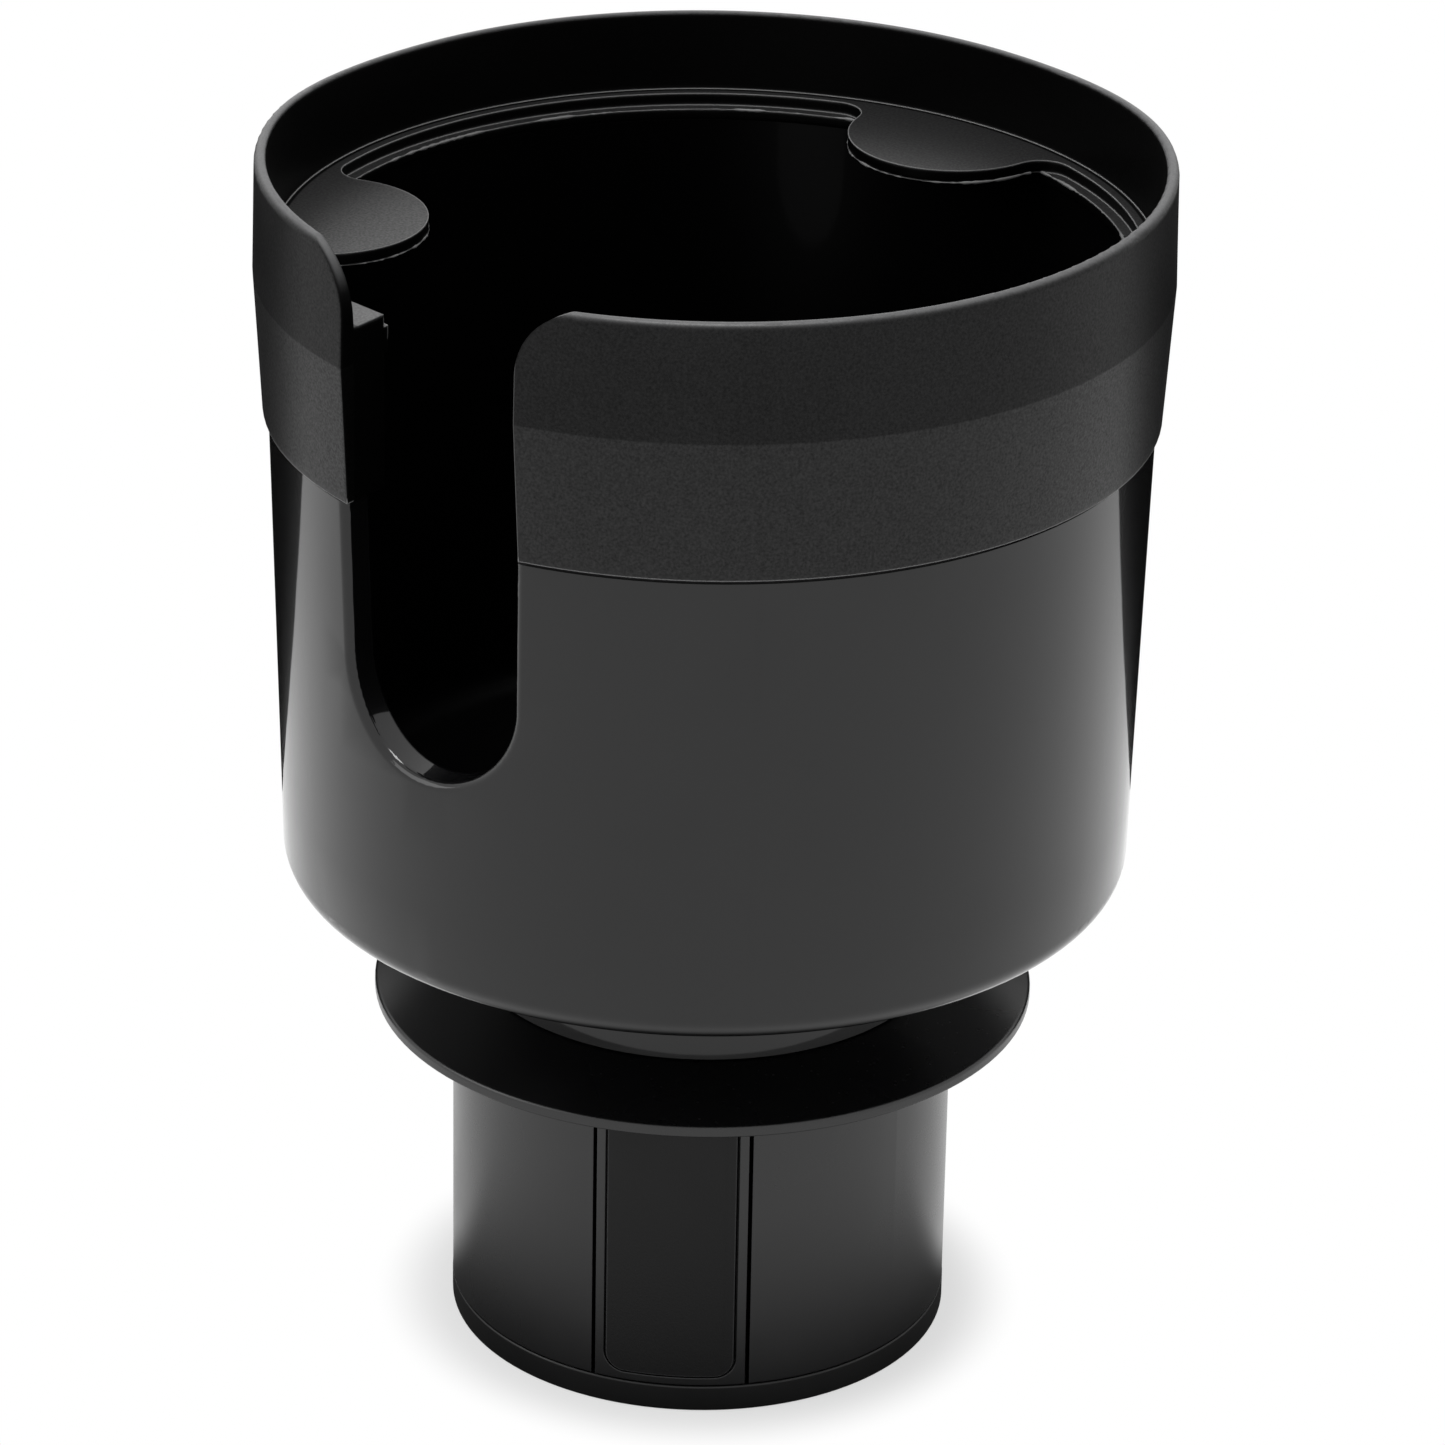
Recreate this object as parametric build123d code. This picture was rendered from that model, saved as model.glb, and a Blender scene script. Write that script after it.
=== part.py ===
from build123d import *
import os
from math import asin, atan2, cos, degrees, radians, sin, sqrt

# Cup holder expander: a large cup on a turning neck over a base with three expanding jaws.
# Millimetres. The origin is the centre of the base's underside, +Z is up, and the handle slot faces -Y.
# Angles round the axis are measured from -Y, positive towards +X.

# Clearances
slide_gap = 0.3           # jaws to whatever they slide past
running_gap = 0.08        # hub journal in its bearing
turning_gap = 0.3         # skirts and rims that turn past each other
thrust_gap = 0.05         # flat faces that turn on each other
seat_gap = 0.05           # pressed or screwed parts in their seats
pin_gap = 0.1             # cam pin in its spiral slot
cam_play = 0.2            # cam disc under the bearing tube
under_cam_gap = 0.6       # jaw bridges and screw posts under the cam disc
shank_gap = 0.2           # screw shanks in the holes that they pass through
overshoot = 5.0           # how far a cutter runs past what it cuts
sink = 0.5                # how far shapes of one piece run into each other

# Bottom plate
plate_proud = 1.0         # how far the plate stands out past the walls
plate_height = 3.8
plate_edge_round = 0.5
foot_ring_width = 5.0     # the flat ring that the base stands on
foot_recess = 0.6         # how far the middle of the underside is raised

# Housing: walls, flange and bearing
wall_thickness = 2.4
wall_height = 43.5        # from the bottom plate to the flange
wall_room = 3.6           # between the cam disc and the walls
flange_overhang = 11.2    # how far the flange reaches past the walls
flange_edge = 1.5         # thickness at the flange's edge
flange_rise = 1.9         # of the dished top, from the edge to its shoulder
flange_shoulder = 4.2     # from the neck to where the top turns up towards it
flange_top_round = 0.5
flange_under_round = 0.3
relief_width = 2.5        # shallow groove in the flange's underside, beside the walls
relief_depth = 0.3
deck_rise = 0.9           # from the flange's shoulder to the deck inside the neck
deck_web = 2.7            # thickness of the deck over the mechanism
bearing_wall = 5.0        # wall of the bearing tube round the hub
bearing_rise = 11.0       # height of the bearing tube over the deck
guide_rim_wall = 2.2      # short rim inside the neck
guide_rim_rise = 3.0
rib_thickness = 1.6       # guide ribs on both sides of each jaw
rib_inset = 2.0           # from the bridges' inner ends to those of the guide ribs
post_inset = 6.6          # from the walls' inside to the middle of the screw posts
post_radius = 3.6
post_web = 2.0

# Turning collar (the neck) and its hub
neck_wall = 2.0
neck_lean = 1.6           # how much narrower the neck is at its top
neck_web = 3.0
hub_radius = 11.0
hex_radius = 7.5          # corner radius of the hexagonal end that drives the cam disc
glide_ring_height = 1.5
bearing_head_room = 3.02  # from the bearing tube to the heads of the collar's screws
rim_head_room = 1.8       # from these heads to the guide rim
collar_screw_count = 4
collar_screw_start = 45.0
collar_screw_cover = 1.5  # plastic left over the ends of these screws

# Bowl
bowl_height = 84.05       # from its foot to its own rim, under the sleeve's ledge
bowl_rim_radius = 58.05
bowl_taper = 1.85         # how much narrower the bowl is at its foot
bowl_wall = 4.3
bowl_floor = 3.2
bowl_foot_round = 3.5
bowl_inside_round = 4.5
floor_pad_margin = 5.0    # raised middle of the floor, past the circle of the screws
floor_pad_rise = 2.5
slot_half_width = 13.4    # half the handle slot where its round end begins
slot_depth = 39.75        # from the rim to the centre of the slot's round end
slot_flare = 0.021        # how much the slot's sides open for each millimetre of height
lip_round = 1.15          # rounding of the slot's outer edge
skirt_groove_height = 0.75  # shallow groove in the bowl along the sleeve's lower edge
skirt_groove_depth = 0.4

# Rim sleeve
sleeve_turn = 1.4         # degrees that the sleeve sits turned on the bowl
sleeve_rise = 12.1        # height of the wall over the ledge
sleeve_wall = 1.5         # thickness of the wall at its top
sleeve_wall_foot = 0.7    # how much thicker the wall is at the ledge
sleeve_lean = 0.35        # how much the wall leans in from the crease to its top
crease_skin = 1.35        # thickness over the bowl at the crease
skirt_edge = 0.71         # thickness over the bowl at the skirt's lower edge
skirt_length = 18.7       # from the crease to the lower edge
ledge_rise = 3.2          # height of the upper ledge over the bowl's rim
ledge_width = 1.8
ledge_step = 1.7          # drop from the upper ledge to the lower one, and thickness of a tab
lower_ledge_width = 1.6
sleeve_slot_spare = 0.4   # how much wider the sleeve's slot is than the bowl's, on each side
sleeve_corner_radius = 9.4
sleeve_corner_lift = 0.4  # how far the round of a corner would run past the top
sleeve_lip_round = 0.4    # inner edge of the top
sleeve_top_flat = 0.1     # left between the roundings of the top
tab_angles = (60.0, 180.0, 300.0)
tab_reach = 17.5          # how far a tab's tip reaches in from the ledge
tab_lobe_radius = 13.8
tab_root_round = 4.0
end_cap = 2.2             # rubber round the bowl's wall at the slot
end_reach = 5.6           # how far the thick ends beside the slot reach in from the ledge
end_length = 12.0         # width that a thick end's back is drawn with
end_back_lean = 1.6       # how much further in that back is at its far side
end_rise = 1.4            # height of the thick ends over the ledge
end_band_reach = 0.75     # how much further in an end's band reaches
end_band_drop = 1.6       # from the top of an end to its band
end_band_foot = 0.5       # how far the band reaches down inside the bowl

# Jaws, pads and cam
jaw_angles = (32.7, 152.7, 272.7)
half_pitch = 60.0         # from a jaw to the screw post between it and the next
jaw_travel = 8.0
turn_angle = 140.0        # turn of the bowl that moves the jaws all the way out
jaw_proud = 0.4           # how far a jaw stands out past the walls at rest
jaw_half_width = 10.07
jaw_skin = 2.6
jaw_side = 1.8
jaw_side_gap = 0.53       # visible gap on each side of a jaw
jaw_floor = 3.0
jaw_bridge = 3.6          # thickness of the bridge that carries the pin
washer_room = 2.5         # between the hub's washer and the bridges
jaw_bridge_half_width = 8.6
jaw_rib = 1.8
jaw_rib_inset = 6.0       # from the pin to the rib behind the panel
jaw_rib_drop = 1.0        # from the bridge's top to the rib's
pad_half_width = 8.55
pad_groove = 0.35
pad_inset = 1.4           # from the jaw's lower edge to the pad
pad_corner = 2.5
pad_depth = 1.2           # depth of the pad's pocket in the panel
pad_proud = 0.4
key_half_width = 3.0      # guide keys on the bottom plate, one under each jaw
key_height = 1.4
key_start = 8.0
key_end_gap = 2.0         # from a key's end to the inside of the panel at rest
key_cover = 0.2           # panel left beyond the key's groove
pin_radius = 1.5
pin_land = 3.0            # from the bridge's inner end to the pin
pin_tail = 1.7            # length of a pin under its bridge
cam_rim = 3.4             # left outside the ends of the spiral slots
cam_thickness = 4.2
cam_slot_overrun = 1.0    # degrees of slot beyond each end of the turn
cam_slot_steps = 12       # points that a slot's side runs through

# Screws and washer
screw_radius = 1.4
plate_screw_length = 14.0
screw_head_radius = 2.9
screw_head_height = 1.9
socket_radius = 1.2       # round recess that stands in for the drive of a small screw
socket_depth = 1.1
screw_hole_spare = 0.5    # blind screw holes are this much deeper than their screws
post_hole_spare = 3.0
hub_screw_radius = 2.0
hub_screw_length = 14.0
hub_head_radius = 4.5
hub_head_height = 2.6
hub_socket_radius = 1.8   # corner radius of the hexagonal socket
hub_socket_depth = 1.4
washer_radius = 8.5
washer_height = 1.2

# Radii of the base that follow from the sizes above, from the inside out
jaw_bridge_start = washer_radius + washer_room
pin_circle = jaw_bridge_start + pin_land
cam_radius = pin_circle + jaw_travel + pin_radius + pin_gap + cam_rim
wall_inner_radius = cam_radius + wall_room
wall_radius = wall_inner_radius + wall_thickness
plate_radius = wall_radius + plate_proud
jaw_radius = wall_radius + jaw_proud
flange_radius = wall_radius + flange_overhang
post_circle = wall_inner_radius - post_inset
rib_start = jaw_bridge_start + rib_inset
window_half_width = jaw_half_width + jaw_side_gap

# Radii of the neck, likewise
bearing_radius = hub_radius + running_gap
bearing_outer = bearing_radius + bearing_wall
collar_screw_circle = bearing_outer + bearing_head_room + screw_head_radius
guide_inner = collar_screw_circle + screw_head_radius + rim_head_room
guide_outer = guide_inner + guide_rim_wall
neck_inner = guide_outer + turning_gap
neck_radius = neck_inner + neck_wall
flange_dish_radius = neck_radius + flange_shoulder

# Heights, from the ground up
flange_under = plate_height + wall_height
flange_dish_height = flange_under + flange_edge + flange_rise
deck_height = flange_dish_height + deck_rise
bearing_top = deck_height + bearing_rise
neck_foot_height = deck_height + turning_gap
glide_top = bearing_top + glide_ring_height
collar_web_under = glide_top + thrust_gap
collar_top = collar_web_under + neck_web
bowl_foot_height = collar_top
bowl_floor_height = bowl_foot_height + bowl_floor
floor_pad_height = bowl_floor_height + floor_pad_rise
bearing_foot = flange_under - slide_gap
cam_top = bearing_foot - cam_play
cam_under = cam_top - cam_thickness
washer_under = cam_under - washer_height
post_top = cam_under - under_cam_gap
jaw_foot = plate_height + slide_gap
jaw_top = flange_under - slide_gap
jaw_bridge_top = post_top

# Bowl and sleeve
bowl_rim_height = bowl_foot_height + bowl_height
bowl_base_radius = bowl_rim_radius - bowl_taper
floor_pad_radius = collar_screw_circle + floor_pad_margin
slot_end_height = bowl_rim_height - slot_depth
ledge_height = bowl_rim_height + ledge_rise
sleeve_top_height = ledge_height + sleeve_rise
sleeve_skirt_height = bowl_rim_height - skirt_length
sleeve_crease_radius = bowl_rim_radius + seat_gap + crease_skin
sleeve_top_radius = sleeve_crease_radius - sleeve_lean
rim_inner_radius = sleeve_top_radius - sleeve_wall
ledge_outer_radius = rim_inner_radius - sleeve_wall_foot
ledge_inner_radius = ledge_outer_radius - ledge_width
lower_ledge_radius = ledge_inner_radius - lower_ledge_width
sleeve_top_round = sleeve_wall - sleeve_lip_round - sleeve_top_flat
sleeve_slot_half_width = slot_half_width + sleeve_slot_spare
sleeve_corner_height = sleeve_top_height - sleeve_corner_radius + sleeve_corner_lift
tab_tip_radius = ledge_inner_radius - tab_reach
end_back = ledge_inner_radius - end_reach
end_top = ledge_height + end_rise
end_seat_half_width = sleeve_slot_half_width + end_cap


def cartesian(radius, angle):
    """Point on a circle, the angle measured from -Y towards +X."""
    return (radius * sin(radians(angle)), -radius * cos(radians(angle)))


def spun(points, rounds=()):
    """Body of revolution from (radius, height) points, some corners rounded."""
    face = make_face(Polyline(*points, close=True))
    for x, y, radius in rounds:
        vertex = min(face.vertices(), key=lambda v: abs(v.X - x) + abs(v.Y - y))
        face = fillet(vertex, radius)
    return revolve(Plane.XZ * face, Axis.Z)


def disc(radius, bottom, top):
    """Upright cylinder between two heights."""
    lift = Pos(0, 0, bottom)
    return lift * Cylinder(radius, top - bottom, align=(Align.CENTER, Align.CENTER, Align.MIN))


def tube(outer, inner, bottom, top):
    return disc(outer, bottom, top) - disc(inner, bottom - overshoot, top + overshoot)


def countersunk(head, shank, bottom, height):
    """Cone of a countersunk head, widest at its bottom."""
    return Pos(0, 0, bottom) * Cone(head, shank, height, align=(Align.CENTER, Align.CENTER, Align.MIN))


def block(x0, x1, half_width, bottom, top):
    """Box along +X, centred on the XZ plane."""
    size = Box(x1 - x0, 2 * half_width, top - bottom, align=(Align.MIN, Align.CENTER, Align.MIN))
    return Pos(x0, 0, bottom) * size


def facing(angle):
    """Turn that points a part built along +X in a direction round the axis."""
    return Rot(0, 0, angle - 90)


def bowl_radius_at(height):
    slope = (bowl_rim_radius - bowl_base_radius) / (bowl_rim_height - bowl_foot_height)
    return bowl_base_radius + slope * (height - bowl_foot_height)


def bowl_slot():
    """Cutter for the handle slot: a round end with sides that open a little upwards."""
    top = bowl_rim_height + overshoot
    top_half = slot_half_width + slot_flare * (top - slot_end_height)
    sides = make_face(Polyline(
        (-slot_half_width, slot_end_height), (-top_half, top),
        (top_half, top), (slot_half_width, slot_end_height), close=True))
    outline = sides + Pos(0, slot_end_height) * Circle(slot_half_width)
    return extrude(Plane.XZ.offset(bowl_base_radius / 2) * outline, bowl_rim_radius)


def end_seats():
    """Cutter that clears the bowl's wall for the sleeve's ends, which wrap round it beside the slot."""
    low = sleeve_skirt_height - seat_gap
    size = Box(2 * end_seat_half_width, bowl_rim_radius, bowl_rim_height + overshoot - low,
               align=(Align.CENTER, Align.MAX, Align.MIN))
    return Rot(0, 0, sleeve_turn) * Pos(0, -bowl_rim_radius / 2, low) * size


def bowl():
    inner_base = bowl_base_radius - bowl_wall
    inner_rim = bowl_rim_radius - bowl_wall
    body = spun(
        [(0, bowl_foot_height), (bowl_base_radius, bowl_foot_height),
         (bowl_rim_radius, bowl_rim_height), (inner_rim, bowl_rim_height),
         (inner_base, bowl_floor_height), (floor_pad_radius + floor_pad_rise, bowl_floor_height),
         (floor_pad_radius, floor_pad_height), (0, floor_pad_height)],
        [(bowl_base_radius, bowl_foot_height, bowl_foot_round),
         (inner_base, bowl_floor_height, bowl_inside_round)])
    body -= bowl_slot()
    # The slot's outer edge is softened all round the U
    middle_radius = (bowl_base_radius + bowl_rim_radius - bowl_wall) / 2
    edges = []
    for edge in body.edges():
        spot = edge.center()
        outside = sqrt(spot.X ** 2 + spot.Y ** 2) > middle_radius
        beside = spot.Y < 0 and abs(spot.X) < slot_half_width + overshoot
        between = slot_end_height - slot_half_width - overshoot < spot.Z < bowl_rim_height - lip_round
        if outside and beside and between:
            edges.append(edge)
    body = fillet(edges, lip_round)
    body -= end_seats()
    groove_floor = bowl_radius_at(sleeve_skirt_height) - skirt_groove_depth
    body -= tube(bowl_rim_radius + overshoot, groove_floor,
                 sleeve_skirt_height - skirt_groove_height, sleeve_skirt_height)
    hole_top = floor_pad_height - collar_screw_cover + screw_hole_spare
    for x, y in collar_screw_places():
        body -= Pos(x, y, 0) * disc(screw_radius + seat_gap / 2, bowl_foot_height - overshoot, hole_top)
    return body


def sleeve_slot():
    """Cutter for the sleeve's opening, with its upper corners rounded outwards."""
    half = sleeve_slot_half_width
    reach = half + sleeve_corner_radius
    arc_top = sleeve_corner_height + sleeve_corner_radius
    above = arc_top + overshoot
    low = sleeve_skirt_height - overshoot
    turn = sleeve_corner_radius * (1 - sin(radians(45)))
    rise = sleeve_corner_radius * sin(radians(45))
    outline = Polyline((half, sleeve_corner_height), (half, low), (-half, low), (-half, sleeve_corner_height))
    left = ThreePointArc((-half, sleeve_corner_height), (-half - turn, sleeve_corner_height + rise),
                         (-reach, arc_top))
    over = Polyline((-reach, arc_top), (-reach, above), (reach, above), (reach, arc_top))
    right = ThreePointArc((reach, arc_top), (half + turn, sleeve_corner_height + rise),
                          (half, sleeve_corner_height))
    face = make_face([*outline.edges(), *left.edges(), *over.edges(), *right.edges()])
    return extrude(Plane.XZ.offset(bowl_base_radius / 2) * face, bowl_rim_radius)


def slot_clearing():
    """Rectangle that ends the ledge on both sides of the slot."""
    return Pos(0, -bowl_rim_radius) * Rectangle(2 * sleeve_slot_half_width, bowl_rim_radius)


def upper_ledge():
    """Top of the ledge, level with the grip tabs that reach inwards from it."""
    outer = ledge_outer_radius + sink
    outline = Circle(outer) - Circle(ledge_inner_radius)
    for angle in tab_angles:
        x, y = cartesian(tab_tip_radius + tab_lobe_radius, angle)
        outline += Pos(x, y) * Circle(tab_lobe_radius)
    outline = outline & Circle(outer)
    # The tabs blend into the ledge with concave roundings
    roots = [v for v in outline.vertices() if abs(sqrt(v.X ** 2 + v.Y ** 2) - ledge_inner_radius) < seat_gap]
    outline = fillet(roots, tab_root_round)
    outline -= slot_clearing()
    return Pos(0, 0, ledge_height - ledge_step) * extrude(outline, ledge_step)


def lower_ledge():
    """Narrow step under the upper ledge that lies on the bowl's rim."""
    bottom = bowl_rim_height + seat_gap
    top = ledge_height - ledge_step
    outline = Circle(ledge_outer_radius + sink) - Circle(lower_ledge_radius) - slot_clearing()
    return Pos(0, 0, bottom) * extrude(outline, top - bottom)


def end_prism(back, bottom, top):
    """Upright block beside the slot, level with the slot's side, with a flat back."""
    far = sleeve_slot_half_width + end_length
    outline = make_face(Polyline(
        (sleeve_slot_half_width, -2 * back), (far, -2 * back), (far, end_back_lean - back),
        (sleeve_slot_half_width, -back), close=True))
    return Pos(0, 0, bottom) * extrude(outline, top - bottom)


def thick_ends():
    """Ends of the sleeve beside the slot: a block on the ledge with a band, and a post inside the bowl."""
    rim_seat = bowl_rim_height + seat_gap
    room = bowl_wall + slide_gap
    outer = ledge_outer_radius + sink
    within = spun(
        [(0, sleeve_skirt_height), (bowl_radius_at(sleeve_skirt_height) - room, sleeve_skirt_height),
         (bowl_radius_at(rim_seat) - room, rim_seat), (outer, rim_seat), (outer, end_top), (0, end_top)])
    band_low = bowl_rim_height - end_band_foot
    end = end_prism(end_back, sleeve_skirt_height - sink, end_top + sink)
    end += end_prism(end_back - end_band_reach, band_low, end_top - end_band_drop)
    end = end & within
    return [end, mirror(end, Plane.YZ)]


def end_wraps():
    """Rubber that covers the bowl's cut wall on both sides of the slot, as far down as the skirt."""
    top = bowl_rim_height + seat_gap + sink
    low_radius = bowl_radius_at(sleeve_skirt_height) + seat_gap + skirt_edge / 2
    high_radius = bowl_radius_at(top) + seat_gap + crease_skin / 2
    within = spun([(0, sleeve_skirt_height), (low_radius, sleeve_skirt_height), (high_radius, top), (0, top)])
    cap = Pos(sleeve_slot_half_width, -end_back - sink, sleeve_skirt_height - sink) * Box(
        end_cap - seat_gap, end_back, top - sleeve_skirt_height + 2 * sink,
        align=(Align.MIN, Align.MAX, Align.MIN))
    wrap = within & cap
    return [wrap, mirror(wrap, Plane.YZ)]


def rim_sleeve():
    crease = bowl_rim_height
    skirt_inner = bowl_radius_at(sleeve_skirt_height) + seat_gap
    rim_seat = bowl_rim_radius + seat_gap
    body = spun(
        [(skirt_inner, sleeve_skirt_height), (skirt_inner + skirt_edge, sleeve_skirt_height),
         (sleeve_crease_radius, crease), (sleeve_top_radius, sleeve_top_height),
         (rim_inner_radius, sleeve_top_height), (ledge_outer_radius, ledge_height),
         (ledge_outer_radius, crease + seat_gap), (rim_seat, crease + seat_gap)],
        [(sleeve_top_radius, sleeve_top_height, sleeve_top_round),
         (rim_inner_radius, sleeve_top_height, sleeve_lip_round)])
    body -= sleeve_slot()
    body += [upper_ledge(), lower_ledge(), *end_wraps(), *thick_ends()]
    return Rot(0, 0, sleeve_turn) * body


def collar_screw_places():
    return [cartesian(collar_screw_circle, collar_screw_start + n * 360 / collar_screw_count)
            for n in range(collar_screw_count)]


def turning_collar():
    lean_start = deck_height + guide_rim_rise + turning_gap
    body = spun(
        [(0, cam_top), (hub_radius, cam_top), (hub_radius, collar_web_under),
         (neck_inner - neck_lean, collar_web_under), (neck_inner, lean_start),
         (neck_inner, neck_foot_height), (neck_radius, neck_foot_height),
         (neck_radius - neck_lean, collar_top), (0, collar_top)])
    drive = extrude(RegularPolygon(hex_radius, 6), cam_thickness - slide_gap + sink)
    body += Pos(0, 0, cam_under + slide_gap) * drive
    hole_top = cam_under + hub_screw_length + screw_hole_spare
    body -= disc(hub_screw_radius + seat_gap / 2, cam_under - overshoot, hole_top)
    for x, y in collar_screw_places():
        through = disc(screw_radius + shank_gap, collar_web_under - overshoot, collar_top + overshoot)
        body -= Pos(x, y, 0) * through
    return body


def collar_screws():
    under = collar_web_under - screw_head_height
    screws = []
    for x, y in collar_screw_places():
        head = disc(screw_head_radius, under, collar_web_under)
        socket = disc(socket_radius, under - overshoot, under + socket_depth)
        shank = disc(screw_radius, collar_web_under - sink, floor_pad_height - collar_screw_cover)
        screws.append(Pos(x, y, 0) * (head - socket + shank))
    return Compound(children=screws)


def glide_ring():
    return tube(bearing_outer, bearing_radius + slide_gap, bearing_top, glide_top)


def base_housing():
    seat_start = wall_radius + relief_width
    relief_top = flange_under + relief_depth
    deck = spun(
        [(bearing_radius, bearing_foot), (bearing_outer, bearing_foot),
         (bearing_outer, deck_height - deck_web), (wall_inner_radius, deck_height - deck_web),
         (wall_inner_radius, relief_top), (seat_start, relief_top), (seat_start, flange_under),
         (flange_radius, flange_under),
         (flange_radius, flange_under + flange_edge), (flange_dish_radius, flange_dish_height),
         (neck_radius, deck_height), (guide_outer, deck_height),
         (guide_outer, deck_height + guide_rim_rise), (guide_inner, deck_height + guide_rim_rise),
         (guide_inner, deck_height), (bearing_outer, deck_height), (bearing_outer, bearing_top),
         (bearing_radius, bearing_top)],
        [(flange_radius, flange_under + flange_edge, flange_top_round),
         (flange_radius, flange_under, flange_under_round)])
    walls = tube(wall_radius, wall_inner_radius, plate_height, flange_under + sink)
    for angle in jaw_angles:
        walls -= facing(angle) * block(rib_start, wall_radius + overshoot, window_half_width,
                                       plate_height - overshoot, flange_under)
    body = deck + walls
    # Guide ribs beside each window, cut back under the cam disc
    rib_end = sqrt(wall_inner_radius ** 2 - (window_half_width + rib_thickness) ** 2) + wall_thickness
    rib_bend = cam_radius + 2 * slide_gap
    middle = window_half_width + rib_thickness / 2
    for angle in jaw_angles:
        for side in (middle, -middle):
            low = block(rib_start, rib_end, rib_thickness / 2, plate_height, post_top)
            high = block(rib_bend, rib_end, rib_thickness / 2, plate_height, deck_height - deck_web / 2)
            body += facing(angle) * Pos(0, side, 0) * (low + high)
    # Screw posts midway between the jaws, each tied to the wall by a web
    for angle in jaw_angles:
        post = Pos(post_circle, 0, 0) * disc(post_radius, plate_height, post_top)
        web = block(post_circle, wall_radius - wall_thickness / 2, post_web / 2, plate_height, post_top)
        hole = Pos(post_circle, 0, 0) * disc(screw_radius + seat_gap / 2, plate_height - overshoot,
                                             plate_screw_length + post_hole_spare)
        body += facing(angle + half_pitch) * (post + web)
        body -= facing(angle + half_pitch) * hole
    return body


def bottom_plate():
    inner = plate_radius - foot_ring_width
    body = spun(
        [(0, foot_recess), (inner, foot_recess), (inner + foot_recess, 0), (plate_radius, 0),
         (plate_radius, plate_height), (0, plate_height)],
        [(plate_radius, 0, plate_edge_round), (plate_radius, plate_height, plate_edge_round / 2)])
    key_end = jaw_radius - jaw_skin - key_end_gap
    key = block(key_start, key_end, key_half_width, plate_height - sink, plate_height + key_height)
    hole = disc(screw_radius + shank_gap, -overshoot, plate_height + overshoot)
    seat = countersunk(screw_head_radius + shank_gap, screw_radius + shank_gap, foot_recess,
                       screw_head_height)
    for angle in jaw_angles:
        body += facing(angle) * key
        body -= facing(angle + half_pitch) * Pos(post_circle, 0, 0) * (hole + seat)
    return body


def plate_screws():
    head = countersunk(screw_head_radius, screw_radius, foot_recess, screw_head_height)
    shank = disc(screw_radius, foot_recess + screw_head_height - seat_gap, plate_screw_length)
    socket = disc(socket_radius, foot_recess - overshoot, foot_recess + socket_depth)
    screw = Pos(post_circle, 0, 0) * (head + shank - socket)
    return Compound(children=[facing(angle + half_pitch) * screw for angle in jaw_angles])


def spiral_slot(start_angle):
    """Slot along an Archimedean spiral, so that equal turns give equal travel."""
    half = pin_radius + pin_gap
    rate = jaw_travel / turn_angle
    first = -cam_slot_overrun
    last = turn_angle + cam_slot_overrun

    def place(turn, offset, along=0.0):
        radius = pin_circle + rate * turn
        angle = radians(start_angle + turn)
        climb = rate / radians(1)
        run = sqrt(radius ** 2 + climb ** 2)
        tx = (climb * cos(angle) - radius * sin(angle)) / run
        ty = (climb * sin(angle) + radius * cos(angle)) / run
        x = radius * cos(angle) + offset * ty + along * tx
        y = radius * sin(angle) - offset * tx + along * ty
        return (x, y)

    turns = [first + (last - first) * n / cam_slot_steps for n in range(cam_slot_steps + 1)]
    outside = Spline(*[place(t, half) for t in turns])
    inside = Spline(*[place(t, -half) for t in reversed(turns)])
    far_end = ThreePointArc(place(last, half), place(last, 0, half), place(last, -half))
    near_end = ThreePointArc(place(first, -half), place(first, 0, -half), place(first, half))
    return make_face([*outside.edges(), *far_end.edges(), *inside.edges(), *near_end.edges()])


def cam_disc():
    outline = Circle(cam_radius) - RegularPolygon(hex_radius + seat_gap, 6)
    body = Pos(0, 0, cam_under) * extrude(outline, cam_thickness)
    for angle in jaw_angles:
        slot = extrude(spiral_slot(angle - 90), cam_thickness + 2 * overshoot)
        body -= Pos(0, 0, cam_under - overshoot) * slot
    return body


def hub_washer():
    return tube(washer_radius, hub_screw_radius + shank_gap, washer_under, cam_under)


def hub_screw():
    under = washer_under - hub_head_height
    head = disc(hub_head_radius, under, washer_under)
    socket = Pos(0, 0, under) * extrude(RegularPolygon(hub_socket_radius, 6), hub_socket_depth)
    shank = disc(hub_screw_radius, washer_under - sink, cam_under + hub_screw_length)
    return head - socket + shank


def pad_outline(grow):
    """Rounded rectangle of the pad, or of its pocket when grown by the groove."""
    low = jaw_foot + pad_inset
    high = jaw_top - pad_inset
    size = Rectangle(2 * (pad_half_width + grow), high - low + 2 * grow)
    return Plane.YZ * Pos(0, (low + high) / 2) * fillet(size.vertices(), pad_corner + grow)


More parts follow.
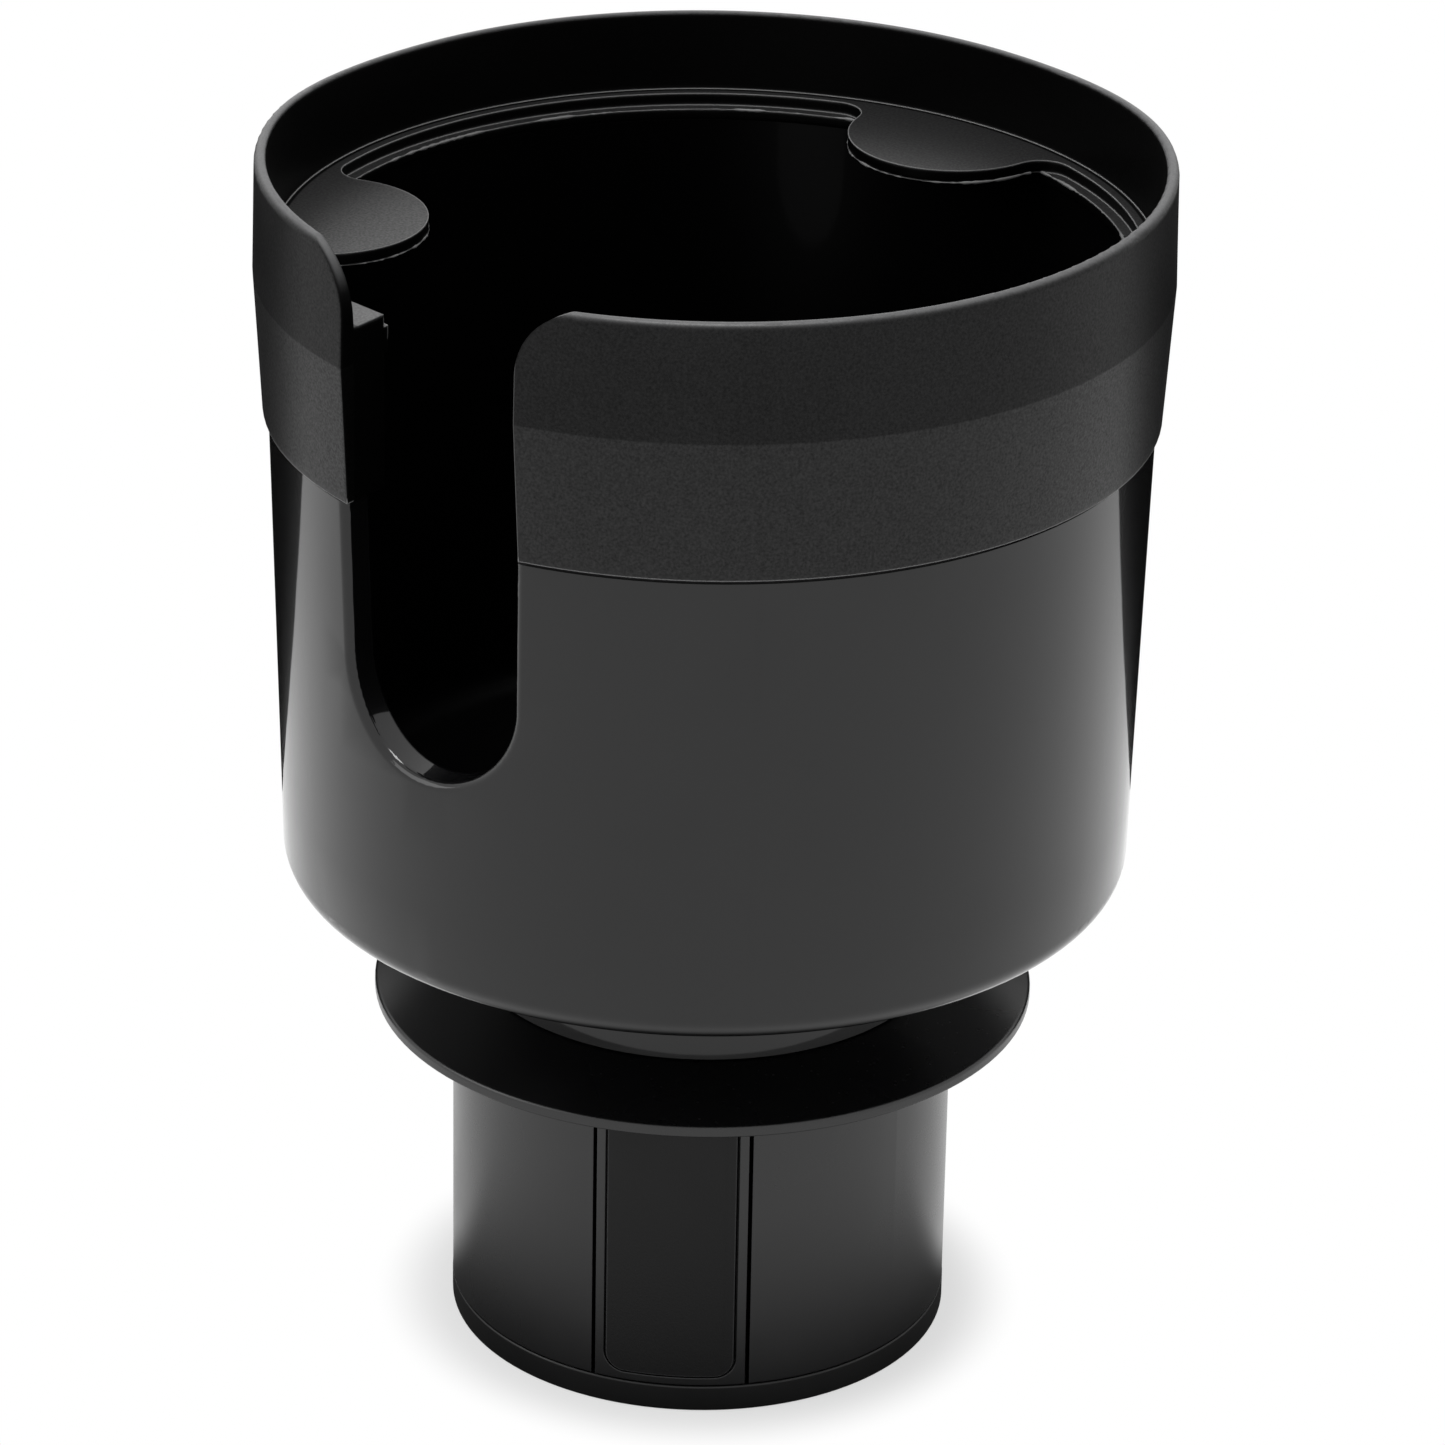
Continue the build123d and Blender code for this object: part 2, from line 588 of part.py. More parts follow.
def jaw():
    inner = jaw_radius - jaw_skin
    reach = jaw_radius + overshoot
    panel = tube(jaw_radius, inner, jaw_foot, jaw_top)
    panel = panel & block(rib_start, reach, jaw_half_width, 0, flange_under)
    within = disc(jaw_radius - jaw_skin / 2, 0, flange_under)
    floor = block(pin_circle, reach, jaw_half_width, jaw_foot, jaw_foot + jaw_floor) & within
    bridge = block(jaw_bridge_start, reach, jaw_bridge_half_width,
                   jaw_bridge_top - jaw_bridge, jaw_bridge_top) & within
    side = block(pin_circle, reach, jaw_side / 2, jaw_foot, jaw_bridge_top)
    middle = jaw_half_width - jaw_side / 2
    sides = (Pos(0, middle, 0) * side + Pos(0, -middle, 0) * side) & within
    rib = block(pin_circle + jaw_rib_inset, reach, jaw_rib / 2, jaw_foot + jaw_floor - sink,
                jaw_bridge_top - jaw_rib_drop) & within
    body = panel + floor + bridge + sides + rib
    groove_end = jaw_radius - jaw_skin - key_cover
    body -= block(0, groove_end, key_half_width + slide_gap / 2, 0, plate_height + key_height + slide_gap)
    body -= Pos(pin_circle, 0, 0) * disc(pin_radius + seat_gap / 2, jaw_bridge_top - jaw_bridge - overshoot,
                                         jaw_bridge_top + overshoot)
    pocket = extrude(pad_outline(pad_groove), reach)
    body -= pocket - disc(jaw_radius - pad_depth, 0, flange_under)
    return body


def jaw_pad():
    outer = jaw_radius + pad_proud
    ring = tube(outer, jaw_radius - pad_depth + seat_gap, 0, flange_under)
    return extrude(pad_outline(0), jaw_radius + overshoot) & ring


def cam_pin():
    foot = jaw_bridge_top - jaw_bridge - pin_tail
    return Pos(pin_circle, 0, 0) * disc(pin_radius, foot, cam_top - slide_gap)


def write(shape, name):
    export_step(shape, f"parts/{name}.step")


os.makedirs("parts", exist_ok=True)
write(bowl(), "bowl")
write(rim_sleeve(), "rim_sleeve")
write(turning_collar(), "turning_collar")
write(collar_screws(), "collar_screws")
write(glide_ring(), "glide_ring")
write(base_housing(), "base_housing")
write(bottom_plate(), "bottom_plate")
write(plate_screws(), "plate_screws")
write(cam_disc(), "cam_disc")
write(hub_washer(), "hub_washer")
write(hub_screw(), "hub_screw")
for number, angle in enumerate(jaw_angles, start=1):
    write(facing(angle) * jaw(), f"jaw_{number}")
    write(facing(angle) * jaw_pad(), f"jaw_pad_{number}")
    write(facing(angle) * cam_pin(), f"cam_pin_{number}")
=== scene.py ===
import math
import random

import bmesh
import bpy
from bpy.props import FloatProperty, FloatVectorProperty, IntProperty, PointerProperty
from mathutils import Matrix, Vector


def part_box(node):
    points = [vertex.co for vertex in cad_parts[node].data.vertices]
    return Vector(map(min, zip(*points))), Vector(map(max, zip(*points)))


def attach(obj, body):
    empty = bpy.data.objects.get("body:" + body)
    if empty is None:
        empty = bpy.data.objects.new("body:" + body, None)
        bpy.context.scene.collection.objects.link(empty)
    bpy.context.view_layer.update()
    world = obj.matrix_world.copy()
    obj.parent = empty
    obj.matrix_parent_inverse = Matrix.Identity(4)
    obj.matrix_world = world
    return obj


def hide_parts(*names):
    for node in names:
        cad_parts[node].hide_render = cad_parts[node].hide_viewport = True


bl_info = {
    "name": "Cup holder expander",
    "version": (1, 0, 0),
    "blender": (4, 5, 0),
    "location": "3D View > Sidebar > Expander",
    "description": "Finishes, moulding trim and studio for a cup holder expander",
    "category": "Object",
}

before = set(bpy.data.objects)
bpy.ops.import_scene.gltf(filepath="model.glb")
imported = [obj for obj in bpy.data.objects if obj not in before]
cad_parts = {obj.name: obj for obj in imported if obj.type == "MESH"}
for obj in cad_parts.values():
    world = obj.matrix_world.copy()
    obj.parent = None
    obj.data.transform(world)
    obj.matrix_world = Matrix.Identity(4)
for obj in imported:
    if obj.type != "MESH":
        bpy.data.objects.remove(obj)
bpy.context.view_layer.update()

MM = 0.001

# Places in the CAD's shape, in metres
RIM_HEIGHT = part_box("bowl")[1].z             # the bowl's rim, under the sleeve's ledge
SLEEVE_FOOT, SLEEVE_TOP = (corner.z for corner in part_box("rim_sleeve"))
LEDGE_HEIGHT = RIM_HEIGHT + 3.2 * MM         # upper ledge and grip tabs
LOWER_LEDGE_HEIGHT = LEDGE_HEIGHT - 1.7 * MM
LEDGE_RADIUS = 56.25 * MM                    # the ledges and tabs lie inside this radius
WALL_INSIDE, WALL_OUTSIDE = 57.0 * MM, 59.0 * MM
WALL_HEIGHT = 160 * MM                       # the sleeve's ends at the slot stay lower than this
SLOT_LINE = ((12.0 * MM, 12.5 * MM), (15.5 * MM, 14.8 * MM))    # painted highlight line, across the slot
RIM_EDGE = 58.85 * MM                        # middle of the rounding at the rim's outer edge
LOWER_LEDGE_EDGE = (53.0 * MM, 54.2 * MM)    # radii on both sides of the lower ledge's edge
TAB_EDGE = (30.0 * MM, 52.6 * MM)            # radii between which the grip tabs' edges run
BOWL_TAPER = 0.022                           # how much the bowl widens for its height
BOWL_INSIDE = 50.6 * MM                      # the inside's radius, carried down to height 0
BOWL_FLOOR = 68.75 * MM
FLANGE_UNDER = 47.3 * MM
PLATE_TOP = 3.8 * MM
WALL_RADIUS, PLATE_RADIUS = 33.0 * MM, 34.0 * MM
PLATE_RIM = 0.6 * MM                         # the plate's edge lies within this of its radius
JAW_RADIUS, PAD_RADIUS = 33.4 * MM, 33.8 * MM
WINDOW_HALF_WIDTH = 11.0 * MM                # from a window's middle past its sides
JAW_ANGLES = (32.7, 152.7, 272.7)            # measured from -Y, positive towards +X
SAME_PLACE = 0.05 * MM                       # points nearer than this count as one place
SMOOTH_ANGLE, SHARP_ANGLE = math.radians(40), math.radians(50)


# Settings that a user would change

class MouldedSettings(bpy.types.PropertyGroup):
    """Moulded plastic of the bowl, the neck and the base."""

    bowl_color: FloatVectorProperty(
        name="Bowl colour", description="Colour of the bowl's and neck's plastic",
        subtype="COLOR", size=3, min=0, max=1, default=(0.003, 0.003, 0.0032))
    # Painted shade: the bowl's inside gets a darker colour than its outside; its low gloss is a finish
    inside_shade_color: FloatVectorProperty(
        name="Inside colour", description="Colour of the bowl's matt inside",
        subtype="COLOR", size=3, min=0, max=1, default=(0.0011, 0.0011, 0.0012))
    gloss_roughness: FloatProperty(
        name="Gloss roughness", description="Roughness of the bowl's polished skin",
        min=0, max=1, default=0.055, subtype="FACTOR")
    inside_gloss: FloatProperty(
        name="Inside gloss", description="How much of the polished skin the bowl's inside has",
        min=0, max=1, default=0.035, subtype="FACTOR")
    base_color: FloatVectorProperty(
        name="Base colour", description="Colour of the housing's and jaws' plastic",
        subtype="COLOR", size=3, min=0, max=1, default=(0.0045, 0.0045, 0.0048))
    base_roughness: FloatProperty(
        name="Base roughness", description="How matt the base's plastic is",
        min=0, max=1, default=0.27, subtype="FACTOR")
    # Painted shade: the plate is given a darker colour than the housing, for the shade at the floor
    plate_shade_color: FloatVectorProperty(
        name="Plate colour", description="Colour of the bottom plate's plastic",
        subtype="COLOR", size=3, min=0, max=1, default=(0.002, 0.002, 0.0021))
    natural_color: FloatVectorProperty(
        name="Natural plastic", description="Colour of the unpigmented cam disc and glide ring",
        subtype="COLOR", size=3, min=0, max=1, default=(0.74, 0.71, 0.63))
    edge_round: FloatProperty(
        name="Edge round", description="How far the moulded edges are softened in the shading",
        min=0, soft_max=0.001, default=0.25 * MM, subtype="DISTANCE", unit="LENGTH")


class BaseSettings(bpy.types.PropertyGroup):
    """Outer sizes of the base that the pieces here bring closer to the photograph."""

    wall_radius: FloatProperty(
        name="Wall radius", description="Outer radius of the housing's walls",
        min=0.03, default=33.65 * MM, subtype="DISTANCE", unit="LENGTH")
    plate_radius: FloatProperty(
        name="Plate radius", description="Outer radius of the bottom plate, level with the walls",
        min=0.03, default=33.7 * MM, subtype="DISTANCE", unit="LENGTH")
    foot_gap: FloatProperty(
        name="Foot gap", description="Groove left between the walls and the plate",
        min=0, default=0.25 * MM, subtype="DISTANCE", unit="LENGTH")
    jaw_radius: FloatProperty(
        name="Jaw radius", description="Outer radius of the jaws at rest",
        min=0.03, default=33.75 * MM, subtype="DISTANCE", unit="LENGTH")
    pad_radius: FloatProperty(
        name="Pad radius", description="Outer radius of the grip pads at rest",
        min=0.03, default=33.95 * MM, subtype="DISTANCE", unit="LENGTH")


class RubberSettings(bpy.types.PropertyGroup):
    """Soft rubber of the rim sleeve and the grip pads."""

    sleeve_color: FloatVectorProperty(
        name="Sleeve colour", description="Colour of the rim sleeve's rubber",
        subtype="COLOR", size=3, min=0, max=1, default=(0.0026, 0.0026, 0.0027))
    # Painted shade on the inside of the sleeve's wall and on its end faces at the slot
    painted_shade_color: FloatVectorProperty(
        name="Dull colour", description="Colour of the wall's inside and of the ends at the slot",
        subtype="COLOR", size=3, min=0, max=1, default=(0.0009, 0.0009, 0.0009))
    # Painted highlight along the sleeve's edges
    edge_highlight_color: FloatVectorProperty(
        name="Edge colour", description="Colour of the sleeve's rubbed edges",
        subtype="COLOR", size=3, min=0, max=1, default=(0.48, 0.48, 0.48))
    # Painted highlight on the top of the sleeve's wall
    rim_color: FloatVectorProperty(
        name="Rim colour", description="Colour of the rubbed top of the sleeve's wall",
        subtype="COLOR", size=3, min=0, max=1, default=(0.13, 0.13, 0.132))
    # Painted light: the upper sides of the ledge and the tabs are made lighter
    tab_lit_color: FloatVectorProperty(
        name="Tab colour", description="Colour of the ledge's and the grip tabs' upper sides",
        subtype="COLOR", size=3, min=0, max=1, default=(0.016, 0.016, 0.0162))
    pad_color: FloatVectorProperty(
        name="Pad colour", description="Colour of the grip pads' rubber",
        subtype="COLOR", size=3, min=0, max=1, default=(0.0035, 0.0035, 0.0036))
    roughness: FloatProperty(
        name="Roughness", description="How matt the rubber is",
        min=0, max=1, default=0.42, subtype="FACTOR")
    skirt_gloss: FloatProperty(
        name="Skirt gloss", description="Shine of the smoother skirt under the crease",
        min=0, max=1, default=0.27, subtype="FACTOR")
    wall_gloss: FloatProperty(
        name="Wall gloss", description="Shine of the whole outside of the sleeve",
        min=0, max=1, default=0.32, subtype="FACTOR")
    tab_gloss: FloatProperty(
        name="Tab gloss", description="Shine of the ledge and the grip tabs",
        min=0, max=1, default=0.9, subtype="FACTOR")
    edge_round: FloatProperty(
        name="Edge round", description="How far the rubber's edges are rounded in the shading",
        min=0, soft_max=0.002, default=0.9 * MM, subtype="DISTANCE", unit="LENGTH")
    wall_dip: FloatProperty(
        name="Wall dip", description="How far the soft wall's top has settled behind the tabs",
        min=0, default=1.35 * MM, subtype="DISTANCE", unit="LENGTH")
    grain_size: FloatProperty(
        name="Grain size", description="Size of the rubber's fine grain",
        min=0.00005, soft_max=0.001, default=0.35 * MM, subtype="DISTANCE", unit="LENGTH")


class FlashSettings(bpy.types.PropertyGroup):
    """Thin ragged rubber left along the mould's parting lines, pale as a painted highlight."""

    thickness: FloatProperty(
        name="Thickness", description="Mean thickness of the ragged bead",
        min=0, default=0.3 * MM, subtype="DISTANCE", unit="LENGTH")
    step: FloatProperty(
        name="Step", description="Distance between the points that the bead runs through",
        min=0.0001, default=0.5 * MM, subtype="DISTANCE", unit="LENGTH")
    # Painted highlight: the bead's pale colour; the bead itself is real moulding flash
    color: FloatVectorProperty(
        name="Colour", description="Colour of the thin, pale bead",
        subtype="COLOR", size=3, min=0, max=1, default=(0.16, 0.16, 0.16))
    seed: IntProperty(name="Seed", description="Start of the bead's random course", default=7)


class SteelSettings(bpy.types.PropertyGroup):
    """Zinc-plated screws, pins and washer."""

    color: FloatVectorProperty(
        name="Colour", description="Colour of the plated steel",
        subtype="COLOR", size=3, min=0, max=1, default=(0.56, 0.57, 0.6))
    roughness: FloatProperty(
        name="Roughness", description="How matt the plating is",
        min=0, max=1, default=0.3, subtype="FACTOR")


class StudioSettings(bpy.types.PropertyGroup):
    """Camera, floor, cards and lamps."""

    azimuth: FloatProperty(
        name="Azimuth", description="Direction that the camera stands in, from the handle slot",
        default=math.radians(38.9), subtype="ANGLE", unit="ROTATION")
    camera_distance: FloatProperty(
        name="Camera distance", description="Level distance from the object's axis to the camera",
        min=0.1, default=832.3 * MM, subtype="DISTANCE", unit="LENGTH")
    camera_height: FloatProperty(
        name="Camera height", description="Height of the camera over the floor",
        min=0, default=478.1 * MM, subtype="DISTANCE", unit="LENGTH")
    camera_side: FloatProperty(
        name="Camera side step", description="How far the camera stands to the right of the axis",
        default=-0.28 * MM, subtype="DISTANCE", unit="LENGTH")
    camera_yaw: FloatProperty(
        name="Camera yaw", description="How far the camera looks to the right of the axis",
        default=math.radians(0.161), subtype="ANGLE", unit="ROTATION")
    camera_pitch: FloatProperty(
        name="Camera pitch", description="How far the camera looks down",
        default=math.radians(25.227), subtype="ANGLE", unit="ROTATION")
    camera_roll: FloatProperty(
        name="Camera roll", description="How far the camera leans",
        default=math.radians(1.059), subtype="ANGLE", unit="ROTATION")
    lens: FloatProperty(
        name="Lens", description="Focal length for a sensor 36 mm wide", min=10, default=172.65)
    sky: FloatProperty(
        name="Sky", description="Strength of the soft light from all round", min=0, default=0.55)
    overhead: FloatProperty(
        name="Overhead lamp", description="Power of the soft lamp over the object",
        min=0, default=9.0, unit="POWER")
    side: FloatProperty(
        name="Side lamp", description="Power of the soft lamp at the left",
        min=0, default=4.0, unit="POWER")
    card_distance: FloatProperty(
        name="Card distance", description="Distance from the object's axis to the dark cards",
        min=0.1, default=149.0 * MM, subtype="DISTANCE", unit="LENGTH")
    card_height: FloatProperty(
        name="Card height", description="Height of the dark cards",
        min=0, default=125.0 * MM, subtype="DISTANCE", unit="LENGTH")


# Node helpers

def put_in(made, **values):
    """Sets a node's inputs by name."""
    for name, value in values.items():
        made.inputs[name.replace("_", " ")].default_value = value


def node(tree, kind, **values):
    """A node with its properties and unlinked inputs set by name."""
    made = tree.nodes.new(kind)
    for name, value in values.items():
        if name in made.bl_rna.properties:
            setattr(made, name, value)
        else:
            put_in(made, **{name: value})
    return made


def join(tree, out, into):
    """Links an output to an input."""
    tree.links.new(out, into)


def calculate(tree, operation, first, second, clamp=False):
    """A Math node's output; each operand is a number or a socket."""
    made = node(tree, "ShaderNodeMath", operation=operation, use_clamp=clamp)
    for value, socket in ((first, made.inputs[0]), (second, made.inputs[1])):
        if isinstance(value, bpy.types.NodeSocket):
            join(tree, value, socket)
        else:
            socket.default_value = value
    return made.outputs[0]


def product(tree, first, *others):
    """The product of sockets and numbers."""
    for other in others:
        first = calculate(tree, "MULTIPLY", first, other)
    return first


def opposite(tree, mask):
    """A mask that is 1 where the other is 0."""
    return calculate(tree, "SUBTRACT", 1.0, mask)


def step_mask(tree, value, off, on):
    """A mask that goes from 0 where the value is off to 1 where it is on."""
    ramp = node(tree, "ShaderNodeMapRange", interpolation_type="SMOOTHSTEP", From_Min=off, From_Max=on)
    join(tree, value, ramp.inputs["Value"])
    return ramp.outputs["Result"]


def mask_over(tree, value, edge, softness):
    """A mask that is 1 where the value is over an edge, with a soft step on both its sides."""
    return step_mask(tree, value, edge - softness, edge + softness)


def mask_under(tree, value, edge, softness):
    """A mask that is 1 where the value is under an edge, with a soft step on both its sides."""
    return step_mask(tree, value, edge + softness, edge - softness)


def new_group(name, inputs, outputs):
    """A shader node group with its sockets, its input node and its output node."""
    tree = bpy.data.node_groups.new(name, "ShaderNodeTree")
    for label, kind, value in inputs:
        socket = tree.interface.new_socket(name=label, in_out="INPUT", socket_type=kind)
        socket.default_value = value
    for label, kind in outputs:
        tree.interface.new_socket(name=label, in_out="OUTPUT", socket_type=kind)
    return tree, tree.nodes.new("NodeGroupInput"), tree.nodes.new("NodeGroupOutput")


def place_group(tree, group, **values):
    """A group's node with its unlinked inputs set by name."""
    made = tree.nodes.new("ShaderNodeGroup")
    made.node_tree = group
    put_in(made, **values)
    return made


def grain_group():
    """Fine moulded grain: a height and a mask that follow the piece's own coordinates."""
    tree, into, out = new_group(
        "Moulded grain",
        [("Size", "NodeSocketFloat", 0.0003), ("Unevenness", "NodeSocketFloat", 0.4)],
        [("Height", "NodeSocketFloat"), ("Mask", "NodeSocketFloat")])
    place = node(tree, "ShaderNodeTexCoord")
    fine = node(tree, "ShaderNodeTexNoise", Detail=2.0, Roughness=0.6)
    join(tree, place.outputs["Object"], fine.inputs["Vector"])
    join(tree, calculate(tree, "DIVIDE", 1.0, into.outputs["Size"]), fine.inputs["Scale"])
    broad = node(tree, "ShaderNodeTexNoise", Scale=45.0, Detail=3.0, Roughness=0.55)
    join(tree, place.outputs["Object"], broad.inputs["Vector"])
    uneven = product(tree, broad.outputs["Fac"], into.outputs["Unevenness"])
    join(tree, calculate(tree, "ADD", fine.outputs["Fac"], uneven), out.inputs["Height"])
    join(tree, fine.outputs["Fac"], out.inputs["Mask"])
    return tree


def smudge_group():
    """Faint handling marks: soft clouds broken up by fine dust."""
    tree, into, out = new_group(
        "Handling marks",
        [("Size", "NodeSocketFloat", 0.03), ("Dust", "NodeSocketFloat", 0.3)],
        [("Mask", "NodeSocketFloat")])
    place = node(tree, "ShaderNodeTexCoord")
    cloud = node(tree, "ShaderNodeTexNoise", Detail=4.0, Roughness=0.5)
    join(tree, place.outputs["Object"], cloud.inputs["Vector"])
    join(tree, calculate(tree, "DIVIDE", 1.0, into.outputs["Size"]), cloud.inputs["Scale"])
    soft = step_mask(tree, cloud.outputs["Fac"], 0.4, 0.75)
    speck = node(tree, "ShaderNodeTexVoronoi", Scale=700.0)
    join(tree, place.outputs["Object"], speck.inputs["Vector"])
    dot = node(tree, "ShaderNodeMapRange", From_Min=0.16, From_Max=0.08)
    join(tree, speck.outputs["Distance"], dot.inputs["Value"])
    dust = product(tree, dot.outputs["Result"], into.outputs["Dust"])
    join(tree, calculate(tree, "ADD", soft, dust, clamp=True), out.inputs["Mask"])
    return tree


def edge_group():
    """Softened edges: a normal that rounds them, and a mask that is 1 along them."""
    tree, into, out = new_group(
        "Softened edges",
        [("Round", "NodeSocketFloat", 0.0003), ("Gain", "NodeSocketFloat", 6.0)],
        [("Normal", "NodeSocketVector"), ("Mask", "NodeSocketFloat")])
    soft = node(tree, "ShaderNodeBevel", samples=6)
    join(tree, into.outputs["Round"], soft.inputs["Radius"])
    flat = node(tree, "ShaderNodeNewGeometry")
    along = node(tree, "ShaderNodeVectorMath", operation="DOT_PRODUCT")
    join(tree, soft.outputs["Normal"], along.inputs[0])
    join(tree, flat.outputs["Normal"], along.inputs[1])
    away = opposite(tree, along.outputs["Value"])
    turned = calculate(tree, "MULTIPLY", away, into.outputs["Gain"], clamp=True)
    join(tree, soft.outputs["Normal"], out.inputs["Normal"])
    join(tree, turned, out.inputs["Mask"])
    return tree


def axis_group():
    """A point's distance from the upright axis and height, and how a normal lies to the axis."""
    tree, into, out = new_group(
        "Place round the axis", [("Normal", "NodeSocketVector", (0, 0, 1))],
        [("Radius", "NodeSocketFloat"), ("Height", "NodeSocketFloat"), ("Side", "NodeSocketFloat"),
         ("Upward", "NodeSocketFloat"), ("Outward", "NodeSocketFloat")])
    place = node(tree, "ShaderNodeTexCoord")
    level = node(tree, "ShaderNodeVectorMath", operation="MULTIPLY")
    level.inputs[1].default_value = (1, 1, 0)
    join(tree, place.outputs["Object"], level.inputs[0])
    radius = node(tree, "ShaderNodeVectorMath", operation="LENGTH")
    join(tree, level.outputs[0], radius.inputs[0])
    split = node(tree, "ShaderNodeSeparateXYZ")
    join(tree, place.outputs["Object"], split.inputs[0])
    facing = node(tree, "ShaderNodeSeparateXYZ")
    join(tree, into.outputs["Normal"], facing.inputs[0])
    away = node(tree, "ShaderNodeVectorMath", operation="NORMALIZE")
    join(tree, level.outputs[0], away.inputs[0])
    outward = node(tree, "ShaderNodeVectorMath", operation="DOT_PRODUCT")
    join(tree, away.outputs[0], outward.inputs[0])
    join(tree, into.outputs["Normal"], outward.inputs[1])
    join(tree, outward.outputs["Value"], out.inputs["Outward"])
    join(tree, split.outputs["X"], out.inputs["Side"])
    join(tree, radius.outputs["Value"], out.inputs["Radius"])
    join(tree, split.outputs["Z"], out.inputs["Height"])
    join(tree, facing.outputs["Z"], out.inputs["Upward"])
    return tree


SHARED = {}


def shared(name, maker):
    """Builds a shared node group once and hands it out again."""
    if name not in SHARED:
        SHARED[name] = maker()
    return SHARED[name]


def ramp_between(tree, mask, low, high):
    """A value that runs from low to high with a mask."""
    ramp = node(tree, "ShaderNodeMapRange", To_Min=low, To_Max=high)
    join(tree, mask, ramp.inputs["Value"])
    return ramp.outputs["Result"]


def mixed_color(tree, mask, first, second):
    """A colour that runs from first to second with a mask; each is a colour or a socket."""
    mix = node(tree, "ShaderNodeMix", data_type="RGBA")
    join(tree, mask, mix.inputs["Factor"])
    for value, socket in ((first, mix.inputs[6]), (second, mix.inputs[7])):
        if isinstance(value, bpy.types.NodeSocket):
            join(tree, value, socket)
        else:
            socket.default_value = (*value, 1.0)
    return mix.outputs[2]


def lighter(color, factor):
    """A colour times a factor."""
    return tuple(min(1.0, part * factor) for part in color)


def new_material(name):
    """A material, its node tree and its shader."""
    material = bpy.data.materials.new(name)
    material.use_nodes = True
    tree = material.node_tree
    return material, tree, tree.nodes["Principled BSDF"]


def add_bump(tree, shader, grain, depth, normal=None):
    """Grain on the shader's normal, over softened edges where these are given."""
    bump = node(tree, "ShaderNodeBump", Strength=1.0, Distance=depth)
    join(tree, grain.outputs["Height"], bump.inputs["Height"])
    if normal is not None:
        join(tree, normal, bump.inputs["Normal"])
    join(tree, bump.outputs["Normal"], shader.inputs["Normal"])


def moulded(name, color, roughness, grain_size, grain_depth, edge_round, specular=0.5,
            edge_highlight_gain=1.6):
    """Moulded material with grain, handling marks and softened edges with a painted highlight along
    them.
    """
    material, tree, shader = new_material(name)
    grain = place_group(tree, shared("grain", grain_group), Size=grain_size)
    marks = place_group(tree, shared("smudge", smudge_group))
    edges = place_group(tree, shared("edge", edge_group), Round=edge_round)
    tone = mixed_color(tree, marks.outputs["Mask"], color, lighter(color, 1.3))
    # Painted highlight: the colour is made lighter along the softened edges
    tone = mixed_color(tree, edges.outputs["Mask"], tone, lighter(color, edge_highlight_gain))
    join(tree, tone, shader.inputs["Base Color"])
    rough = ramp_between(tree, marks.outputs["Mask"], roughness, roughness + 0.1)
    join(tree, rough, shader.inputs["Roughness"])
    add_bump(tree, shader, grain, grain_depth, edges.outputs["Normal"])
    put_in(shader, Specular_IOR_Level=specular)
    return material


def cad(name):
    """The object of a CAD node."""
    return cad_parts[name]


def new_object(name, data):
    """An object that is linked to the scene."""
    made = bpy.data.objects.new(name, data)
    bpy.context.scene.collection.objects.link(made)
    return made


def dress(material, *pieces):
    """Gives pieces a material."""
    for piece in pieces:
        piece.data.materials.clear()
        piece.data.materials.append(material)


def stand_in(name, mesh, source, body):
    """An object that takes a CAD node's place on its body."""
    piece = new_object(name, mesh)
    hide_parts(source)
    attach(piece, body)
    return piece


def refitted(name, source, body, place):
    """A copy of a CAD node, with some of its points moved, that stands in for it."""
    mesh = cad(source).data.copy()
    mesh.name = name
    for vertex in mesh.vertices:
        vertex.co = place(vertex.co.copy())
    mesh.update()
    return stand_in(name, mesh, source, body)


def welded(name, source, body):
    """A copy of a CAD node with its seams joined, so that smooth faces shade without a break."""
    mesh = bpy.data.meshes.new(name)
    work = bmesh.new()
    work.from_mesh(cad(source).data)
    bmesh.ops.remove_doubles(work, verts=work.verts, dist=0.001 * MM)
    for face in work.faces:
        face.smooth = True
    work.to_mesh(mesh)
    work.free()
    if "custom_normal" in mesh.attributes:
        mesh.attributes.remove(mesh.attributes["custom_normal"])
    mesh.set_sharp_from_angle(angle=SMOOTH_ANGLE)
    return stand_in(name, mesh, source, body)


def level_direction(degrees):
    """The level direction at an angle from -Y, positive towards +X."""
    angle = math.radians(degrees)
    return Vector((math.sin(angle), -math.cos(angle), 0))


def beside_axis(point, axis):
    """How far a point lies beside a level direction."""
    return point.y * axis.x - point.x * axis.y


def from_axis(point):
    """A point's distance from the object's upright axis."""
    return math.hypot(point.x, point.y)


def moved_along(point, axis, radius):
    """The point moved along a jaw's direction until it lies at a radius, so that widths stay."""
    sideways = beside_axis(point, axis)
    ahead = math.sqrt(radius ** 2 - sideways ** 2)
    return Vector((ahead * axis.x - sideways * axis.y, ahead * axis.y + sideways * axis.x, point.z))


def grown_outward(point, radius):
    """The point moved straight out from the upright axis to a radius."""
    growth = radius / from_axis(point)
    return Vector((point.x * growth, point.y * growth, point.z))


# Pieces

